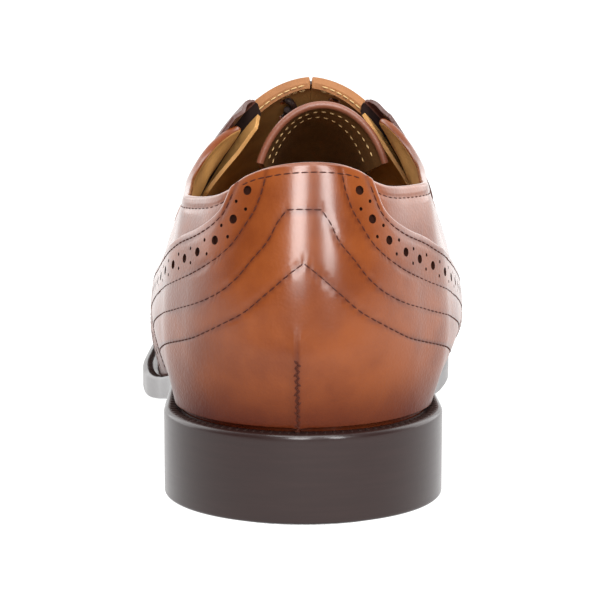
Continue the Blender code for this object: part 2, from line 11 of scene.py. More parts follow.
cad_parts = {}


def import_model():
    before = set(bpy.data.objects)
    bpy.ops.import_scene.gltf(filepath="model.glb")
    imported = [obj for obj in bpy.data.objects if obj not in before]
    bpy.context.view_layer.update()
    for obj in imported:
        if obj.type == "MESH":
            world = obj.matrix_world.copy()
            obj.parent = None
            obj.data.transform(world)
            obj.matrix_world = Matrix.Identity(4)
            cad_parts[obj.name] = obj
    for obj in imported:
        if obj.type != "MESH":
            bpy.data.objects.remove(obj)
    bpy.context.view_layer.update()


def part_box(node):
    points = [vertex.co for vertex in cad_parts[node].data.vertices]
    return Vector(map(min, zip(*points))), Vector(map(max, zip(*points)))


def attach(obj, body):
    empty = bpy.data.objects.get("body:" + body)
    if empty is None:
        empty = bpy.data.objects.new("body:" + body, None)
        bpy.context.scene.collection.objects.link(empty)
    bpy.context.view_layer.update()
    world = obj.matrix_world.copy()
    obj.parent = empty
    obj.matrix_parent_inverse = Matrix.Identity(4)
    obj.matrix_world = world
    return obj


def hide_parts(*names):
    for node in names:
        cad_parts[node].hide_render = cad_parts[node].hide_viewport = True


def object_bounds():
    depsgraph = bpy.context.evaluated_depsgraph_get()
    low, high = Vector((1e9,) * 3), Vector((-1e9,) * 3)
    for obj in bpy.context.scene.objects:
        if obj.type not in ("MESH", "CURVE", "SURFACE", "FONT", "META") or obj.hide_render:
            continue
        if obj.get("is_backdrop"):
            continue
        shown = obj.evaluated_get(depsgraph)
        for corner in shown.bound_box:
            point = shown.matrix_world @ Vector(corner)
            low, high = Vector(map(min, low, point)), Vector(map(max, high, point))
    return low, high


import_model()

# Footbed
# The foot rests on a board covered with a thin sock of lining leather. It is cut to the sole's outline,
# a wall's thickness inside the welt, and lies on the outsole inside the upper.
MM = 0.001
SOLE_LENGTH = 304.0
OUTSOLE_THICKNESS = 4.5
FOOTBED_THICKNESS = 3.0
FOOTBED_INSET = 3.4
FOOTBED_ROUND = 0.8
GAP = 0.3
HEEL_CENTER = 36.0
HEEL_ROUND = 2.0
TOE_CENTER = 250.0
TOE_ROUND = 2.35
FEATHER_BACK = 4.6
FEATHER_TOE_INSET = 6.4


class Curve:
    """Smooth curve through a table's rows that never overshoots them and is level past its ends."""

    def __init__(self, places, values):
        self.places = [float(place) for place in places]
        self.values = [float(value) for value in values]
        rises = np.diff(self.values) / np.diff(self.places)
        self.slopes = [0.0]
        for before, after in zip(rises[:-1], rises[1:]):
            same_way = before * after > 0
            self.slopes.append(2 * before * after / (before + after) if same_way else 0.0)
        self.slopes.append(rises[-1])

    def __call__(self, place):
        place = min(max(place, self.places[0]), self.places[-1])
        i = bisect_left(self.places, place) - 1
        i = min(max(i, 0), len(self.places) - 2)
        step = self.places[i + 1] - self.places[i]
        t = (place - self.places[i]) / step
        value = self.values[i] + t * t * (3 - 2 * t) * (self.values[i + 1] - self.values[i])
        value += step * self.slopes[i] * t * (1 - t) ** 2
        value -= step * self.slopes[i + 1] * t * t * (1 - t)
        return float(value)


def curves(*rows):
    """A curve for each column of a table over its first column."""
    places, *columns = zip(*rows)
    return [Curve(places, values) for values in columns]


# Sections along the shoe, each a place, the centre and half width of the sole and of the widest line of
# the last, the instep ridge, the widest line above the welt, the welt's ledge, the section's fullness
sole_center, sole_half, last_center, last_half, ridge_x, ridge_z, bulge_rise, ledge, fullness = curves(
    (10, 0.0, 36.0, -0.7, 31.4, 1.5, 132.0, 21.0, 4.6, 1.68),
    (20, 0.0, 36.0, -0.3, 31.7, 1.5, 132.0, 21.0, 4.6, 1.68),
    (36, 0.0, 36.0, 0.8, 35.4, 1.5, 132.0, 21.0, 4.6, 1.68),
    (50, -0.1, 35.8, 1.2, 38.6, 1.8, 130.0, 20.6, 4.4, 1.46),
    (65, -0.3, 35.4, 1.5, 40.4, 2.2, 125.5, 20.0, 4.2, 1.40),
    (95, -1.6, 35.2, 1.9, 42.8, 3.2, 113.5, 19.0, 3.6, 1.50),
    (125, -2.5, 39.0, 2.4, 45.0, 3.6, 99.4, 17.0, 3.6, 1.76),
    (155, -1.7, 45.7, 2.5, 47.3, 3.2, 81.0, 13.0, 4.6, 1.88),
    (185, 0.2, 49.8, 1.7, 48.4, 2.8, 66.0, 10.0, 5.4, 2.00),
    (210, 1.7, 50.3, 1.9, 48.0, 2.6, 56.2, 9.0, 5.8, 2.08),
    (235, 2.9, 47.9, 2.7, 45.2, 3.0, 49.5, 8.5, 5.8, 2.15),
    (260, 4.1, 43.1, 3.9, 40.4, 4.0, 44.0, 8.0, 5.8, 2.20),
    (304, 6.5, 35.0, 6.5, 32.6, 6.5, 36.0, 8.0, 5.8, 2.20),
)

# Underside of the outsole along the shoe: flat over the heel, arch, flat tread, toe spring
[tread] = curves(
    (0, 15.8), (76, 15.8), (94, 12.9), (113, 8.4), (132, 4.2), (150, 1.3),
    (166, 0.0), (206, 0.0), (228, 0.7), (255, 2.8), (280, 5.6), (304, 9.0),
)

# Plan outlines: where each begins and ends along the shoe, its centre line and its half width
Outline = namedtuple("Outline", "back front center half")
SOLE = Outline(0.0, SOLE_LENGTH, sole_center, sole_half)


def inside_welt(inset):
    """Outline so far inside the line where the welt meets the upper."""
    return Outline(
        FEATHER_BACK + inset,
        SOLE_LENGTH - FEATHER_TOE_INSET - inset,
        sole_center,
        lambda y: sole_half(y) - ledge(y) - inset,
    )


FEATHER = inside_welt(0.0)
FOOTBED = inside_welt(FOOTBED_INSET)

# The back of the heel block, on the floor, is where the shoe's own millimetres start
heel_low, heel_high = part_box("heel")
SHOE_BACK = Vector(((heel_low.x + heel_high.x) / 2, heel_low.y, 0.0))


def world(point):
    return SHOE_BACK + Vector(point) * MM


def seat(y):
    """Top of the outsole."""
    return tread(y) + OUTSOLE_THICKNESS


def half_width(outline, y):
    """Half width of an outline, with its heel and toe rounded off."""
    heel = max(0.0, HEEL_CENTER - y) / (HEEL_CENTER - outline.back)
    toe = max(0.0, y - TOE_CENTER) / (outline.front - TOE_CENTER)
    round_heel = max(0.0, 1 - heel**HEEL_ROUND) ** (1 / HEEL_ROUND)
    round_toe = max(0.0, 1 - toe**TOE_ROUND) ** (1 / TOE_ROUND)
    return outline.half(y) * round_heel * round_toe


WELD = 2e-6


def sheet(columns, rows, place, finish_of=None):
    """Grid whose points go where place(column, row) says.

    finish_of(column, row) gives the number of a face's finish, or None where the face is left out.
    """
    grid = bmesh.new()
    bmesh.ops.create_grid(grid, x_segments=columns - 1, y_segments=rows - 1, size=0.5)
    left_out = []
    for face in grid.faces if finish_of else []:
        middle = face.calc_center_median()
        finish = finish_of(int((middle.x + 0.5) * (columns - 1)), int((middle.y + 0.5) * (rows - 1)))
        if finish is None:
            left_out.append(face)
        else:
            face.material_index = finish
    bmesh.ops.delete(grid, geom=left_out, context="FACES")
    for vert in grid.verts:
        column = round((vert.co.x + 0.5) * (columns - 1))
        row = round((vert.co.y + 0.5) * (rows - 1))
        vert.co = world(place(column, row))
    bmesh.ops.remove_doubles(grid, verts=grid.verts, dist=WELD)
    bmesh.ops.dissolve_degenerate(grid, edges=grid.edges, dist=WELD)
    return grid


def slab(outline, front, bottom, height, columns, rows, hollow=0.0):
    """Closed solid inside an outline, drawn straight up by a height from its underside.

    Its rows are closer together at its round ends, and its front may be hollowed.
    """

    def place(column, row):
        share = 2 * column / (columns - 1) - 1
        end = front - hollow * (1 - share * share)
        y = outline.back + (end - outline.back) * (1 - math.cos(math.pi * row / (rows - 1))) / 2
        return outline.center(y) + share * half_width(outline, y), y, bottom(y)

    solid = sheet(columns, rows, place)
    raised = bmesh.ops.extrude_face_region(solid, geom=list(solid.faces), use_keep_orig=True)
    lifted = [part for part in raised["geom"] if isinstance(part, bmesh.types.BMVert)]
    bmesh.ops.translate(solid, verts=lifted, vec=(0, 0, height * MM))
    bmesh.ops.recalc_face_normals(solid, faces=solid.faces)
    return solid


def put(name, data):
    """Object added to the scene."""
    added = bpy.data.objects.new(name, data)
    bpy.context.scene.collection.objects.link(added)
    return added


SHARP = math.radians(45)
ROUNDED = math.radians(50)


def add_piece(name, shape, finishes, nodes=(), sharp=SHARP):
    """Piece of the shoe from a shape, standing for the CAD nodes that it is named with."""
    mesh = bpy.data.meshes.new(name)
    shape.to_mesh(mesh)
    shape.free()
    mesh.shade_smooth()
    mesh.set_sharp_from_angle(angle=sharp)
    for finish in finishes:
        mesh.materials.append(finish.material)
    piece = put(name, mesh)
    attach(piece, "root")
    if nodes:
        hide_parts(*nodes)
    return piece


def round_edges(piece, width):
    bevel = piece.modifiers.new("rounded edges", "BEVEL")
    bevel.width = width * MM
    bevel.segments = 3
    bevel.limit_method = "ANGLE"
    bevel.angle_limit = ROUNDED
    level = piece.modifiers.new("even shading", "WEIGHTED_NORMAL")
    level.keep_sharp = True


class Wire:
    """A value in a node tree; arithmetic on it adds Math nodes."""

    def __init__(self, nodes, socket):
        self.nodes = nodes
        self.socket = socket

    def math(self, operation, first, second):
        return self.nodes.node("ShaderNodeMath", {"operation": operation}, {0: first, 1: second})

    def __add__(self, other):
        return self.math("ADD", self, other)

    def __mul__(self, other):
        return self.math("MULTIPLY", self, other)

    def __rsub__(self, other):
        return self.math("SUBTRACT", other, self)

    __radd__ = __add__
    __rmul__ = __mul__


class Nodes:
    """The node tree of a material or of the studio, and the nodes that feed its shader."""

    def __init__(self, tree, shader):
        self.tree = tree
        self.shader = tree.nodes[shader]

    def node(self, kind, settings=None, sockets=None, output=0):
        """Any node: its settings first, then the values or wires of its sockets."""
        made = self.tree.nodes.new(kind)
        for name, value in (settings or {}).items():
            setattr(made, name, value)
        for name, value in (sockets or {}).items():
            self.feed(made.inputs[name], value)
        return Wire(self, made.outputs[output])

    def feed(self, socket, value):
        if isinstance(value, Wire):
            self.tree.links.new(value.socket, socket)
        else:
            socket.default_value = value

    def set(self, socket_name, value):
        self.feed(self.shader.inputs[socket_name], value)

    def axis(self, vector, letter):
        return self.node("ShaderNodeSeparateXYZ", None, {0: vector}, output=letter)

    def ramp(self, value, low, high):
        """Value stretched so that low becomes 0 and high becomes 1."""
        settings = {"interpolation_type": "SMOOTHSTEP"}
        return self.node("ShaderNodeMapRange", settings, {"Value": value, "From Min": low, "From Max": high})

    def mix(self, share, first, second):
        """One colour laid over another."""
        return self.node("ShaderNodeMix", {"data_type": "RGBA"}, {0: share, 6: first, 7: second}, output=2)


class Finish(Nodes):
    """One material: a Principled shader, its constant inputs, and patterns that lie on the shoe."""

    def __init__(self, name, **constants):
        self.material = bpy.data.materials.new(name)
        self.material.use_nodes = True
        super().__init__(self.material.node_tree, "Principled BSDF")
        for socket_name, value in constants.items():
            self.set(socket_name.replace("_", " "), value)
        self.place = self.node("ShaderNodeTexCoord", output="Object")

    def noise(self, scale, detail=3.0, stretch=(1, 1, 1)):
        """Noise with so many blotches to a metre, drawn out along an axis where the stretch is small."""
        spread = self.node("ShaderNodeMapping", None, {"Vector": self.place, "Scale": stretch})
        return self.node("ShaderNodeTexNoise", None, {"Vector": spread, "Scale": scale, "Detail": detail})

    def cells(self, scale):
        """Rounded cells, as in the grain of leather."""
        sockets = {"Vector": self.place, "Scale": scale, "Smoothness": 0.6}
        return self.node("ShaderNodeTexVoronoi", {"feature": "SMOOTH_F1"}, sockets)

    def attribute(self, name):
        """A number painted on the piece's own points."""
        return self.node("ShaderNodeAttribute", {"attribute_name": name}, output="Fac")

    def bump(self, height, depth):
        """Relief from a height between 0 and 1 that stands for so many millimetres."""
        self.set("Normal", self.node("ShaderNodeBump", None, {"Height": height, "Distance": depth * MM}))


def lining_leather(name, pale, deep):
    """Matt lining leather with soft blotches and a fine grain."""
    finish = Finish(name, Specular_IOR_Level=0.35)
    blotch = finish.ramp(finish.noise(70.0), 0.3, 0.7)
    finish.set("Base Color", finish.mix(blotch, deep, pale))
    finish.set("Roughness", 0.5 + 0.14 * finish.noise(300.0))
    finish.bump(finish.cells(1500.0) + 0.6 * finish.noise(600.0), 0.08)
    return finish


lining = lining_leather("lining_leather", pale=(0.46, 0.24, 0.075, 1), deep=(0.33, 0.16, 0.045, 1))
footbed_shape = slab(
    FOOTBED, FOOTBED.front, lambda y: seat(y) + GAP, FOOTBED_THICKNESS, columns=15, rows=121
)
footbed = add_piece("footbed", footbed_shape, [lining], ["insole"])
round_edges(footbed, FOOTBED_ROUND)

# Upper
# Smooth calf leather with a leather lining, pulled over the last and turned in under the welt. The topline
# is folded over and sewn; the facings meet at the throat, and a slot on each side holds a gore.
LAST_BACK = 1.2
LAST_TOE_INSET = 3.4
WALL = 2.2
WELT_THICKNESS = 1.9
COLLAR_ROLL = 0.05
TIP_REACH = 18.0
TIP_LOW = 62.0
TIP_HIGH = 88.0
LATERAL = -1
MEDIAL = 1
SIDES = (LATERAL, MEDIAL)
TIP_DRAW = {LATERAL: 3.8, MEDIAL: 1.6}
LAST = Outline(LAST_BACK, SOLE_LENGTH - LAST_TOE_INSET, last_center, last_half)

# Distance round the wall from the back seam, minus on the lateral side: heel arc, side, toe arc
HEEL_RADIUS = 34.0
TOE_RADIUS = 42.0
HEEL_ARC = HEEL_RADIUS * math.pi / 2
SIDE_RUN = TOE_CENTER - HEEL_CENTER
TOE_ARC = TOE_RADIUS * math.pi / 2
HALF_GIRTH = HEEL_ARC + SIDE_RUN + TOE_ARC

# Gore slot seen from the side: its rear and front edge over the height
slot_rear, slot_front = curves(
    (67, 113.8, 118.2),
    (76, 111.0, 118.2),
    (90, 107.6, 117.8),
    (106, 106.6, 117.5),
)

# Top edge of the quarter along the shoe: topline, tip, rear edge of the slot
[rim_height] = curves(
    (-10, 88.4), (6.5, 88.1), (9, 86.9), (11, 85.2), (12.6, 83.0), (14.5, 81.2),
    (18, 79.6), (23, 78.8), (30, 78.2), (45, 77.6), (64, 77.2), (80, 78.4),
    (93, 81.8), (106.6, 89.4), (108.4, 86.2), (111, 76.0), (113.8, 67.0), (116.2, 64.0),
)


def ease(value):
    value = min(max(value, 0.0), 1.0)
    return value * value * (3 - 2 * value)


def run_to(y):
    """Distance round the wall to a place on the side."""
    return HEEL_ARC + y - HEEL_CENTER


def line_of(girth):
    """Spine point and bearing of the line up the wall at a distance round it."""
    run = abs(girth)
    if run < HEEL_ARC:
        return HEEL_CENTER, 90 * run / HEEL_ARC
    if run < HEEL_ARC + SIDE_RUN:
        return HEEL_CENTER + run - HEEL_ARC, 90.0
    return TOE_CENTER, 90 + 90 * (run - HEEL_ARC - SIDE_RUN) / TOE_ARC


def furthest(inside, near, far, step):
    """Last value on the way from near to far that is still inside."""
    while far - near > step:
        middle = (near + far) / 2
        near, far = (middle, far) if inside(middle) else (near, middle)
    return near


REACH_FAR = 90.0
REACH_STEP = 1e-4


def reach(outline, across, along, spine_y):
    """Distance from the spine to an outline along a direction."""

    def inside(distance):
        x = last_center(spine_y) + across * distance
        y = spine_y + along * distance
        return outline.back < y < outline.front and abs(x - outline.center(y)) < half_width(outline, y)

    return furthest(inside, 0.0, REACH_FAR, REACH_STEP)


LINE_STEP = 0.5
TOE_SLOPE = ridge_z(TOE_CENTER) - ridge_z(TOE_CENTER - 1)
WallLine = namedtuple(
    "WallLine", "side spine_y bearing across along foot foot_z bulge bulge_z top_z power lean"
)


@cache
def wall_line(number):
    """What the wall does on one of its evenly spaced lines: its foot, its widest place and its ridge."""
    girth = number * LINE_STEP
    side = LATERAL if girth < 0 else MEDIAL
    spine_y, bearing = line_of(girth)
    across = side * math.sin(math.radians(bearing))
    along = -math.cos(math.radians(bearing))
    foot = reach(FEATHER, across, along, spine_y)
    bulge = reach(LAST, across, along, spine_y)
    foot_z = seat(spine_y + along * foot) + WELT_THICKNESS + 2 * GAP
    bulge_z = foot_z + bulge_rise(spine_y + along * bulge)
    lean = ridge_x(spine_y) - last_center(spine_y)
    power = 2 / fullness(spine_y)
    return WallLine(
        side, spine_y, bearing, across, along, foot, foot_z, bulge, bulge_z, ridge_z(spine_y), power, lean
    )


def tip_draw(side, y, z):
    """How far the wall is drawn in towards the tip of the quarter, dying out across the gore slot."""
    past_edge = y - slot_rear(z)
    slot_width = slot_front(z) - slot_rear(z)
    near_edge = max(0.0, 1 + past_edge / TIP_REACH) ** 2
    along = near_edge if past_edge < 0 else ease(1 - past_edge / slot_width)
    return TIP_DRAW[side] * along * ease((z - TIP_LOW) / (TIP_HIGH - TIP_LOW))


def line_point(number, level, drawn):
    """Outer face of the upper: below level 0 the foot, 0 the welt, 1 the widest line, 2 the ridge."""
    line = wall_line(number)
    lean = 0.0
    if level < 0:
        radius = line.foot
        z = line.foot_z + level * (WELT_THICKNESS + GAP)
    elif level < 1:
        radius = line.foot + (line.bulge - line.foot) * math.sin(level * math.pi / 2)
        z = line.foot_z + (line.bulge_z - line.foot_z) * level
    else:
        turn = (level - 1) * math.pi / 2
        radius = line.bulge * max(0.0, math.cos(turn)) ** line.power
        z = line.bulge_z + (line.top_z - line.bulge_z) * math.sin(turn) ** line.power
        lean = math.sin(turn) ** 2 * line.lean
        if line.spine_y >= TOE_CENTER:
            z += TOE_SLOPE * line.along * radius * (1 - radius / line.bulge)
    x = last_center(line.spine_y) + line.across * radius + lean
    y = line.spine_y + line.along * radius
    if drawn and level > 1 and line.bearing == 90.0:
        x -= line.side * tip_draw(line.side, y, z)
    return Vector((x, y, z))


def wall_point(girth, level, drawn=True):
    number = math.floor(girth / LINE_STEP)
    near = line_point(number, level, drawn)
    return near.lerp(line_point(number + 1, level, drawn), girth / LINE_STEP - number)


def level_at(girth, z):
    """Level of the wall at a height."""
    line = wall_line(round(girth / LINE_STEP))
    if z < line.bulge_z:
        return (z - line.foot_z) / (line.bulge_z - line.foot_z)
    share = min((z - line.bulge_z) / (line.top_z - line.bulge_z), 1.0)
    return 1 + math.asin(share ** (1 / line.power)) / (math.pi / 2)


GIRTH_STEP = 0.3
LEVEL_STEP = 0.004
RIDGE_LEVEL = 1.999


def wall_frame(girth, level, drawn=True):
    """Point of the wall, the direction out of it and the direction up it."""
    place = wall_point(girth, level, drawn)
    line = wall_line(round(girth / LINE_STEP))
    if level > RIDGE_LEVEL:
        slope = ridge_z(line.spine_y + 1) - ridge_z(line.spine_y)
        if line.spine_y >= TOE_CENTER:
            slope = TOE_SLOPE
        return place, Vector((0, -slope, 1)).normalized(), Vector((-line.side, 0, 0))
    ahead = wall_point(girth + GIRTH_STEP, level, drawn) - wall_point(girth - GIRTH_STEP, level, drawn)
    up = wall_point(girth, level + LEVEL_STEP, drawn) - wall_point(girth, level - LEVEL_STEP, drawn)
    return place, ahead.cross(up).normalized(), up.normalized()


class Spot(namedtuple("Spot", "place outward")):
    """Place on a surface and the direction out of it."""

    def lifted(self, by):
        return Spot(self.place + self.outward * by, self.outward)


def wall_spot(girth, level):
    place, outward, up = wall_frame(girth, level)
    return Spot(place, outward)


def below_rim(place):
    """How far a place is below the top edge of the quarter."""
    return rim_height(place.y) + COLLAR_ROLL * place.x - place.z


EDGE_STEP = 1e-5


@cache
def rim_level(girth, drop=0.0):
    """Level where a line up the wall comes to the top edge of the quarter, or so far under it."""
    return furthest(lambda level: below_rim(wall_point(girth, level)) > drop, 0.0, 2.0, EDGE_STEP)


@cache
def instep_level(girth, out):
    """Level of the wall at a distance out from the ridge."""
    middle = ridge_x(line_of(girth)[0])
    return furthest(lambda level: abs(wall_point(girth, level).x - middle) > out, 1.0, 2.0, EDGE_STEP)


# Throat: the slit between the facings, flared where their top corners are rounded off
SLIT_END = 168.0
SLIT_HALF = 0.15
SLIT_TAPER = 3.0
SLIT_FLARE = 0.4
SLIT_FLARE_END = 126.0
SLIT_FLARE_LENGTH = 8.0


def slit_half(y):
    half = SLIT_HALF + SLIT_FLARE * ease((SLIT_FLARE_END - y) / SLIT_FLARE_LENGTH)
    return half * min(1.0, max(0.0, (SLIT_END - y) / SLIT_TAPER))


# Lines up the wall, all the way round from the lateral side of the toe to its medial side.
# The facing's rear edge leans along the slot, and its last line lies inside the wall to close it.
UpperLine = namedtuple("UpperLine", "girth part")
QUARTER_RUN = run_to(116.2)
QUARTER_TIP_RUN = run_to(103.0)
FACING_RUN = run_to(118.2)
SLIT_RUN = run_to(SLIT_END)
FACING_FADE = 8.0
FACING_EDGE_ROUND = 0.9
FACING_EDGE_SEAM = 0.72
FACING_ROLL = 1.7
FACING_ROLL_RUN = 6.0
[facing_lean] = curves((65.0, -2.0), (67.5, 0.0), (76, 0.0), (90, -0.4), (97, -0.2), (104.5, 2.1))
QUARTER_LINES = 100
TIP_LINES = 21
FACING_LINES = 31
VAMP_LINES = 76
quarter_runs = [*np.linspace(0, QUARTER_TIP_RUN, QUARTER_LINES)]
quarter_runs += [*np.linspace(QUARTER_TIP_RUN, QUARTER_RUN, TIP_LINES)[1:]]
front_runs = [*np.linspace(FACING_RUN, SLIT_RUN, FACING_LINES)]
front_runs += [*np.linspace(SLIT_RUN, HALF_GIRTH, VAMP_LINES)[1:]]
one_side = [UpperLine(run, "quarter") for run in quarter_runs]
one_side += [UpperLine(FACING_RUN, "edge")] + [UpperLine(run, "front") for run in front_runs]
UPPER_LINES = [UpperLine(-line.girth, line.part) for line in reversed(one_side)] + one_side[1:]

FOOT_LEVELS = [-1.0] + list(np.linspace(0, 1, 11))
ARCH_ROWS = 36
ARCH_CROWDING = 1.5
BELT_ROWS = len(FOOT_LEVELS) + ARCH_ROWS
INSTEP_ROWS = 30
OUTER_ROWS = BELT_ROWS + INSTEP_ROWS
RIM_ROWS = 5
UPPER_LOOP = 2 * OUTER_ROWS + RIM_ROWS
EDGE_FOLD = {"quarter": 0.9, "front": 0.25, "edge": 0.0}

# Sewing under the folded topline: how far down it runs, and how deep and wide its thread pulls the leather
TOPLINE_SEAM = 2.3
SEAM_DEPTH = 0.16
SEAM_WIDTH = 0.5

# Soft creases where the vamp bends: a row for each trough across the instep
CreaseRow = namedtuple("CreaseRow", "y bow depth width")
CREASES = [
    CreaseRow(196.0, 5.0, 0.35, 3.2),
    CreaseRow(207.0, 7.0, 0.5, 3.6),
    CreaseRow(219.0, 8.0, 0.35, 3.4),
]
CREASE_TOP_HALF = 34.0

# The quarter bends out at the topline of the side, more towards its tip, and in under it
COLLAR_FLARE = 1.2
COLLAR_FLARE_HALF = 4.0
COLLAR_HOLLOW = 1.8
COLLAR_HOLLOW_DOWN = 10.0
COLLAR_HOLLOW_HALF = 6.0
[flare_share] = curves((40, 0.0), (60, 0.5), (78, 1.0), (97, 1.0), (106, 0.3))


def trough(distance, depth, width):
    return -depth * math.exp(-((distance / width) ** 2))


def collar_flare(place):
    below = below_rim(place)
    out = -trough(below, COLLAR_FLARE, COLLAR_FLARE_HALF)
    hollow = trough(below - COLLAR_HOLLOW_DOWN, COLLAR_HOLLOW, COLLAR_HOLLOW_HALF)
    return flare_share(place.y) * (out + hollow)


def upper_relief(place, quarter):
    """How far the leather stands out of the smooth wall."""
    if quarter:
        return trough(below_rim(place) - TOPLINE_SEAM, SEAM_DEPTH, SEAM_WIDTH)
    share = (place.x - ridge_x(place.y)) / CREASE_TOP_HALF
    across = max(0.0, 1 - share * share)
    return sum(
        across * trough(place.y - row.y - row.bow * (share * share - 0.5), row.depth, row.width)
        for row in CREASES
    )


@cache
def upper_spot(column, step):
    """Place on the wall of one point of the upper: its girth and level."""
    girth, part = UPPER_LINES[column]
    side = LATERAL if girth < 0 else MEDIAL
    quarter = part == "quarter"
    if quarter:
        belt = rim_level(girth)
    else:
        belt = rim_level(side * QUARTER_RUN)
        other = rim_level(-side * QUARTER_RUN)
        belt += (other - belt) / 2 * ease((abs(girth) - FACING_RUN) / (HALF_GIRTH - FACING_RUN))
    if step < len(FOOT_LEVELS):
        level = FOOT_LEVELS[step]
    elif step < BELT_ROWS:
        share = (step - len(FOOT_LEVELS) + 1) / ARCH_ROWS
        level = 1 + (belt - 1) * (1 - (1 - share) ** ARCH_CROWDING)
    elif quarter:
        level = belt
    else:
        spine_y = line_of(girth)[0]
        top = instep_level(girth, slit_half(spine_y)) if spine_y < SLIT_END else 2.0
        level = belt + (top - belt) * (step - BELT_ROWS + 1) / INSTEP_ROWS
    if not quarter:
        fade = max(0.0, 1 - (abs(girth) - FACING_RUN) / FACING_FADE)
        girth += side * facing_lean(wall_point(girth, level).z) * fade
    return girth, level


def wall_depth(girth):
    """Thickness of the wall, which swells to the rolled rear edge of each facing."""
    past_edge = abs(girth) - FACING_RUN
    if past_edge < -FACING_FADE / 2:
        return WALL
    return WALL + FACING_ROLL * ease(1 - past_edge / FACING_ROLL_RUN)


@cache
def upper_faces(column, step):
    """Outer and inner point of the wall, and the direction up it."""
    part = UPPER_LINES[column].part
    girth, level = upper_spot(column, step)
    place, outward, up = wall_frame(girth, level)
    if part == "quarter":
        place = place + outward * collar_flare(place)
    outer = place + outward * upper_relief(place, part == "quarter") if level > 0 else place
    inner = place - outward * (WALL if part == "quarter" else wall_depth(girth))
    if part == "edge":
        outer = (outer + inner) / 2 - Vector((0, FACING_EDGE_ROUND, 0))
        inner = outer
    return outer, inner, up


def upper_place(column, row):
    row = row % UPPER_LOOP
    if row < OUTER_ROWS:
        return upper_faces(column, row)[0]
    if row >= OUTER_ROWS + RIM_ROWS:
        return upper_faces(column, UPPER_LOOP - 1 - row)[1]
    outer, inner, up = upper_faces(column, OUTER_ROWS - 1)
    angle = math.pi * (row - OUTER_ROWS + 1) / (RIM_ROWS + 1)
    fold = EDGE_FOLD[UPPER_LINES[column].part]
    spread = (outer - inner) / 2
    return (outer + inner) / 2 + spread * math.cos(angle) + up * fold * math.sin(angle)


NEAR = 0.01


def upper_finish(column, row):
    """Leather outside, lining inside, binding on the facings' rear edges.

    There are no faces across the slot, below the facing or along the closed vamp.
    """
    pair = [UPPER_LINES[column], UPPER_LINES[column + 1]]
    parts = {line.part for line in pair}
    step = row if row < OUTER_ROWS else UPPER_LOOP - 2 - row
    on_rim = OUTER_ROWS - 1 <= row < OUTER_ROWS + RIM_ROWS
    below_facing = parts == {"edge", "front"} and not on_rim and step < BELT_ROWS - 1
    closed = all(line_of(line.girth)[0] >= SLIT_END - NEAR for line in pair)
    if parts == {"quarter", "edge"} or below_facing or (closed and on_rim):
        return None
    if parts == {"edge", "front"}:
        return 2
    return int(row >= OUTER_ROWS + RIM_ROWS - 1)


TOE_WELD = 0.1
upper_shape = sheet(len(UPPER_LINES), UPPER_LOOP + 1, upper_place, upper_finish)
toe_line = [vert for vert in upper_shape.verts if vert.is_boundary]
bmesh.ops.remove_doubles(upper_shape, verts=toe_line, dist=TOE_WELD * MM)
slot_corners = [edge for edge in upper_shape.edges if edge.is_boundary]
bmesh.ops.holes_fill(upper_shape, edges=slot_corners, sides=12)
bmesh.ops.recalc_face_normals(upper_shape, faces=upper_shape.faces)
BURNISH_HEIGHT = 17.0


def burnish(place):
    """Darker polish where the leather goes down to the welt."""
    return ease(1 - (place.z - seat(place.y) - WELT_THICKNESS) / BURNISH_HEIGHT)


def paint(shape, name, value_at):
    """Number on each point of a shape, from its place on the shoe."""
    layer = shape.verts.layers.float.new(name)
    for vert in shape.verts:
        vert[layer] = value_at((vert.co - SHOE_BACK) / MM)


# The wax is polished up above the welt, to a height in metres, and the tan is mottled by hand
TAN = (0.19, 0.046, 0.009, 1)
DEEP_TAN = (0.125, 0.026, 0.0045, 1)
BURNISHED_AND_SEAM_SHADE = (0.06, 0.009, 0.003, 1)
POLISH_LOW = 0.022
POLISH_HIGH = 0.058
COAT_LEAST = 0.12
COAT_GAIN = 0.83
MOTTLE = (0.36, 0.62)
SEAM_DARK_AND_SHADE = 0.6
leather = Finish("calf_leather", Specular_IOR_Level=0.06, Coat_Roughness=0.2)
polished = leather.ramp(leather.axis(leather.place, "Z"), POLISH_LOW, POLISH_HIGH)
leather.set("Coat Weight", COAT_LEAST + COAT_GAIN * polished)
mottle = leather.ramp(0.6 * leather.noise(26.0, 4.0) + 0.4 * leather.noise(95.0, 5.0), *MOTTLE)
darkened = leather.attribute("burnish") * (0.6 + 0.6 * leather.noise(60.0))
tanned = leather.mix(darkened, leather.mix(mottle, DEEP_TAN, TAN), BURNISHED_AND_SEAM_SHADE)
# Along each seam the colour is darkened: partly the sewn line's own dark tone, partly painted shade in the
# grooves that the thread pulls
leather.set("Base Color", leather.mix(SEAM_DARK_AND_SHADE * leather.attribute("seam"), tanned, BURNISHED_AND_SEAM_SHADE))
leather.set("Roughness", 0.26 + 0.14 * leather.noise(220.0))
leather.bump(0.7 * leather.cells(1300.0) + leather.noise(420.0), 0.09)

paint(upper_shape, "burnish", burnish)
facing_binding = lining_leather("facing_binding", pale=(0.32, 0.135, 0.045, 1), deep=(0.23, 0.09, 0.028, 1))
upper = add_piece("upper_shell", upper_shape, [leather, lining, facing_binding], ["upper"])


def turned(place, outward, along=(0, 1, 0)):
    """Matrix that puts a small piece at a place, its own Z out of the surface and its own X along."""
    out = Vector(outward).normalized()
    across = out.cross(Vector(along)).normalized()
    turn = Matrix((across.cross(out), across, out)).transposed()
    return Matrix.Translation(world(place)) @ turn.to_4x4()


def add_punch(punches, spot, radius, depth, segments, finish):
    """Round punch added to a set of punches, centred on a spot."""
    made = bmesh.ops.create_cone(
        punches,
        cap_ends=True,
        segments=segments,
        radius1=radius * MM,
        radius2=radius * MM,
        depth=depth * MM,
        matrix=turned(*spot),
    )
    for face in {face for vert in made["verts"] for face in vert.link_faces}:
        face.material_index = finish


